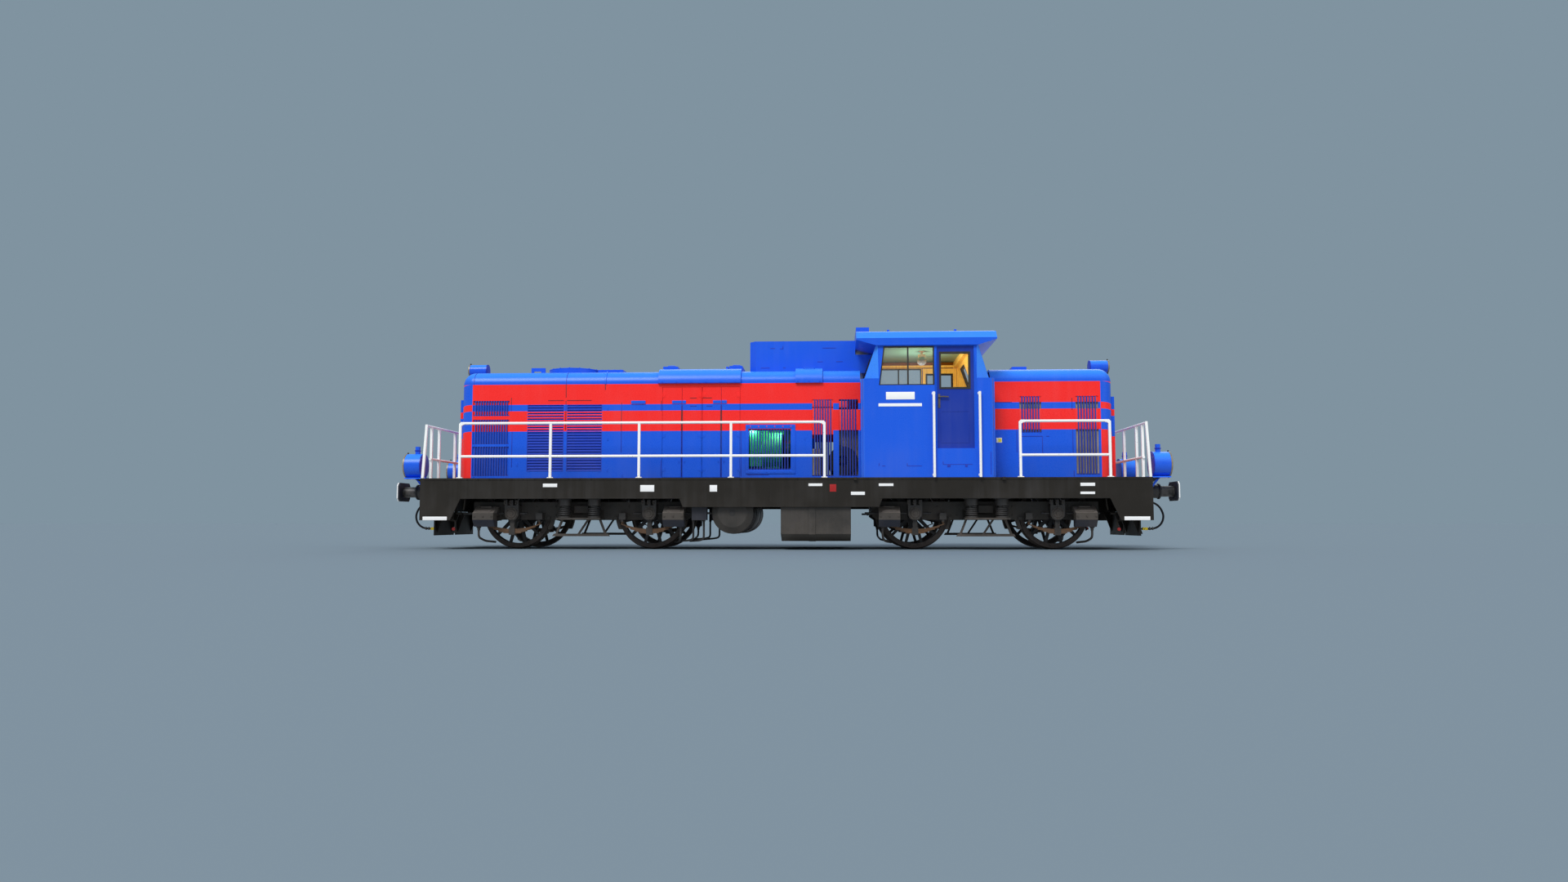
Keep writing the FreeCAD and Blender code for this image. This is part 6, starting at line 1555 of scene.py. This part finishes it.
for end in (-1, 1):
    for (outer, inner, z, r), places in ((HEAD_LAMP, (0.0,)), (MARKER, (-MARKER_Y, MARKER_Y))):
        for y in places:
            back = [(0.0, 0.0), (r + 0.006, 0.0), (r + 0.006, -0.014), (r * 0.86, -0.020), (r * 0.3, -0.022),
                    (0.0, -0.022)]
            flanges.turned(back, (end * inner, y, z), "x", 48, way=end)
            front = [(r - 0.022, -0.004), (r + 0.006, -0.004), (r + 0.006, 0.018), (r - 0.008, 0.026),
                     (r - 0.022, 0.020)]
            rings.turned(front, (end * outer, y, z), "x", 48, closed=True, way=end)
            glass_r = r - 0.020
            turns = [math.radians(t) for t in range(0, 90, 15)]
            dome = [(glass_r * math.cos(t), 0.008 + 0.030 * math.sin(t)) for t in turns]
            face = [(0.0, 0.0), (glass_r, 0.0)] + dome + [(0.0, 0.038)]
            lenses.turned(face, (end * outer, y, z), "x", 40, way=end)
            x = end * (outer + 0.008)
            irons.block((x - 0.012, y - 0.012, z + r - 0.004), (x + 0.012, y + 0.012, z + r + 0.026), 0.003)
            irons.block((x - 0.012, y - 0.016, z - r - 0.020), (x + 0.012, y + 0.016, z - r + 0.004), 0.003)
            hinge = y + r + 0.010
            irons.pipe(((x, hinge, z - 0.035), (x, hinge, z + 0.035)), 0.009)
    for side in (-1, 1):
        y = side * MARKER_Y
        flanges.turned(VENT_KNOB, (end * 6.755, y, 1.80), "z", 32, closed=True)
        (x, z), (wide, high) = GUSSET, GUSSET_SIZE
        turns = [math.radians(t) for t in (20, 40, 60, 80)]
        curve = [(end * (x + wide * (1 - math.cos(t))), z + high * math.sin(t)) for t in turns]
        gusset = [(end * x, 1.284), (end * x, z)] + curve
        for shift in (-0.11, 0.11):
            irons.plate(gusset, "y", y + shift - 0.005, y + shift + 0.005, 0.001)
flanges.fix("lamp_flanges", "root", "lamp_blue", painted_shade_flange_blue)
rings.fix("lens_rings", "root", "lamp_blue", ring_tan)
lenses.fix("lamp_lenses", "root", "window_glass", lens_glass)
irons.fix("lamp_irons", "root", "frame_black", black_iron)


# Railings
# White-painted tube rails stand on square posts along both sides, with round end rails and a long grab rail
# beside each cab door. Flat feet with two bolts hold every post to the deck.
RAIL_Y = 1.45
SIDE_POSTS = (-5.837, -4.173, -2.556, -0.893, 0.785, 4.256, 5.824)
END_POSTS = (-1.21, -0.83, 0.0, 0.83, 1.21)
POST_FOOT = ((0.0, 0.0), (0.046, 0.0), (0.046, 0.009), (0.026, 0.014), (0.026, 0.03), (0.0, 0.03))
GRAB_COLLAR = ((0.0, 0.0), (0.032, 0.0), (0.032, 0.010), (0.020, 0.016), (0.0, 0.016))
rail_paint = Finish("rail white", Specular_IOR_Level=0.4)
rubbed = rail_paint.ease(rail_paint.mottle(24.0, 5.0), 0.68, 0.72)
rail_colour = rail_paint.mix(colour("fafaf6"), colour("8f8f90"), rubbed * 0.6)
weathered(rail_paint, rail_colour, 0.25, dust=0.15, dust_top=1.6)
dress(rail_paint, "handrails_left", "handrails_right", "end_railings")
feet = Piece()
foot_heads = []
for x in SIDE_POSTS:
    for side in (-1, 1):
        feet.block(
            (x - 0.055, side * (RAIL_Y - 0.055), 1.286), (x + 0.055, side * (RAIL_Y + 0.040), 1.298), 0.003
        )
        foot_heads += [((x + dx, side * RAIL_Y, 1.299), (0, 0, 1)) for dx in (-0.04, 0.04)]
for end in (-1, 1):
    for y in END_POSTS:
        feet.turned(POST_FOOT, (end * 6.46, y, 1.286), "z", 24)
feet.fix("railing_feet", "root", "rail_white", rail_paint)
bolt("railing_foot_bolts", foot_heads, "root", "rail_white", rail_paint, 0.009, 0.008)
collars = Piece()
for side in (-1, 1):
    for x in (2.731, 3.542):
        for z in (1.330, 2.780):
            collars.turned(GRAB_COLLAR, (x, side * WALL_FACE, z), "y", 20, way=side)
collars.fix("grab_rail_collars", "root", "rail_white", rail_paint)


# Floor and light
# The locomotive stands on a plain floor that runs on into the blue-grey backdrop. A broad lamp from the
# upper left is the key, two weaker ones and the room fill the shade, and small ones light the inside.
BACKDROP = colour("8093a0")
ROOM_LIGHT = (0.45, 0.47, 0.52, 1.0)
FLOOR_TONE = colour("aeb5b8")
SEEN_FLOOR_TONE = colour("7a8a94")
FLOOR_REACH = 400.0
FLOOR_LOW = -0.001
floor_mesh = bpy.data.meshes.new("floor")
square = ((-1, -1), (1, -1), (1, 1), (-1, 1))
floor_corners = [(x * FLOOR_REACH, y * FLOOR_REACH, FLOOR_LOW) for x, y in square]
floor_mesh.from_pydata(floor_corners, [], [(0, 1, 2, 3)])
floor = bpy.data.objects.new("floor", floor_mesh)
bpy.context.scene.collection.objects.link(floor)
floor_finish = Finish("plain floor", Roughness=1.0, Specular_IOR_Level=0.0)
floor_ray = floor_finish.node("ShaderNodeLightPath").socket.node
from_camera = Value(floor_finish, floor_ray.outputs["Is Camera Ray"])
floor_finish.feed(Base_Color=floor_finish.mix(FLOOR_TONE, SEEN_FLOOR_TONE, from_camera))
floor_mesh.materials.append(floor_finish.material)

# name, strength, spread, turn
LAMPS = (
    ("key", 2.0, 25.0, (42.0, 0.0, -24.0)),
    ("fill", 0.55, 60.0, (58.0, 0.0, 50.0)),
    ("back", 0.5, 40.0, (50.0, 0.0, 170.0)),
)
for name, strength, spread, turn in LAMPS:
    lamp = bpy.data.objects.new(name, bpy.data.lights.new(name, "SUN"))
    lamp.data.energy = strength
    lamp.data.angle = math.radians(spread)
    lamp.rotation_euler = [math.radians(a) for a in turn]
    bpy.context.scene.collection.objects.link(lamp)

# soft lamps behind the windows and the engine grilles: name, place, power, size
INSIDE_LAMPS = (
    ("cab_light", (2.63, 0.0, 3.30), 46.0, 0.20),
    ("engine_light_left", (-0.05, -0.80, 2.24), 4.0, 0.05),
    ("engine_light_right", (-0.05, 0.80, 2.24), 4.0, 0.05),
    ("pump_light_left", (-0.56, -0.90, 2.20), 4.2, 0.02),
    ("pump_light_right", (-0.56, 0.90, 2.20), 4.2, 0.02),
)
for name, place, power, size in INSIDE_LAMPS:
    lamp = bpy.data.objects.new(name, bpy.data.lights.new(name, "POINT"))
    lamp.data.energy = power
    lamp.data.shadow_soft_size = size
    lamp.location = place
    lamp.visible_camera = False
    lamp.visible_glossy = False
    bpy.context.scene.collection.objects.link(lamp)

world = bpy.data.worlds.new("room")
bpy.context.scene.world = world
world.use_nodes = True
room = Recipe(world.node_tree)
backdrop = world.node_tree.nodes["Background"]
ray = room.node("ShaderNodeLightPath").socket.node
seen = [Value(room, ray.outputs[kind]) for kind in ("Is Camera Ray", "Is Glossy Ray", "Is Transmission Ray")]
shown = seen[0].sum("MAXIMUM", seen[0].sum("MAXIMUM", seen[0], seen[1]), seen[2])
shades = {0: shown, 6: ROOM_LIGHT, 7: BACKDROP}
tone = room.node("ShaderNodeMix", {"data_type": "RGBA"}, shades, out=2)
world.node_tree.links.new(tone.socket, backdrop.inputs["Color"])
bpy.context.scene.view_settings.view_transform = "Standard"
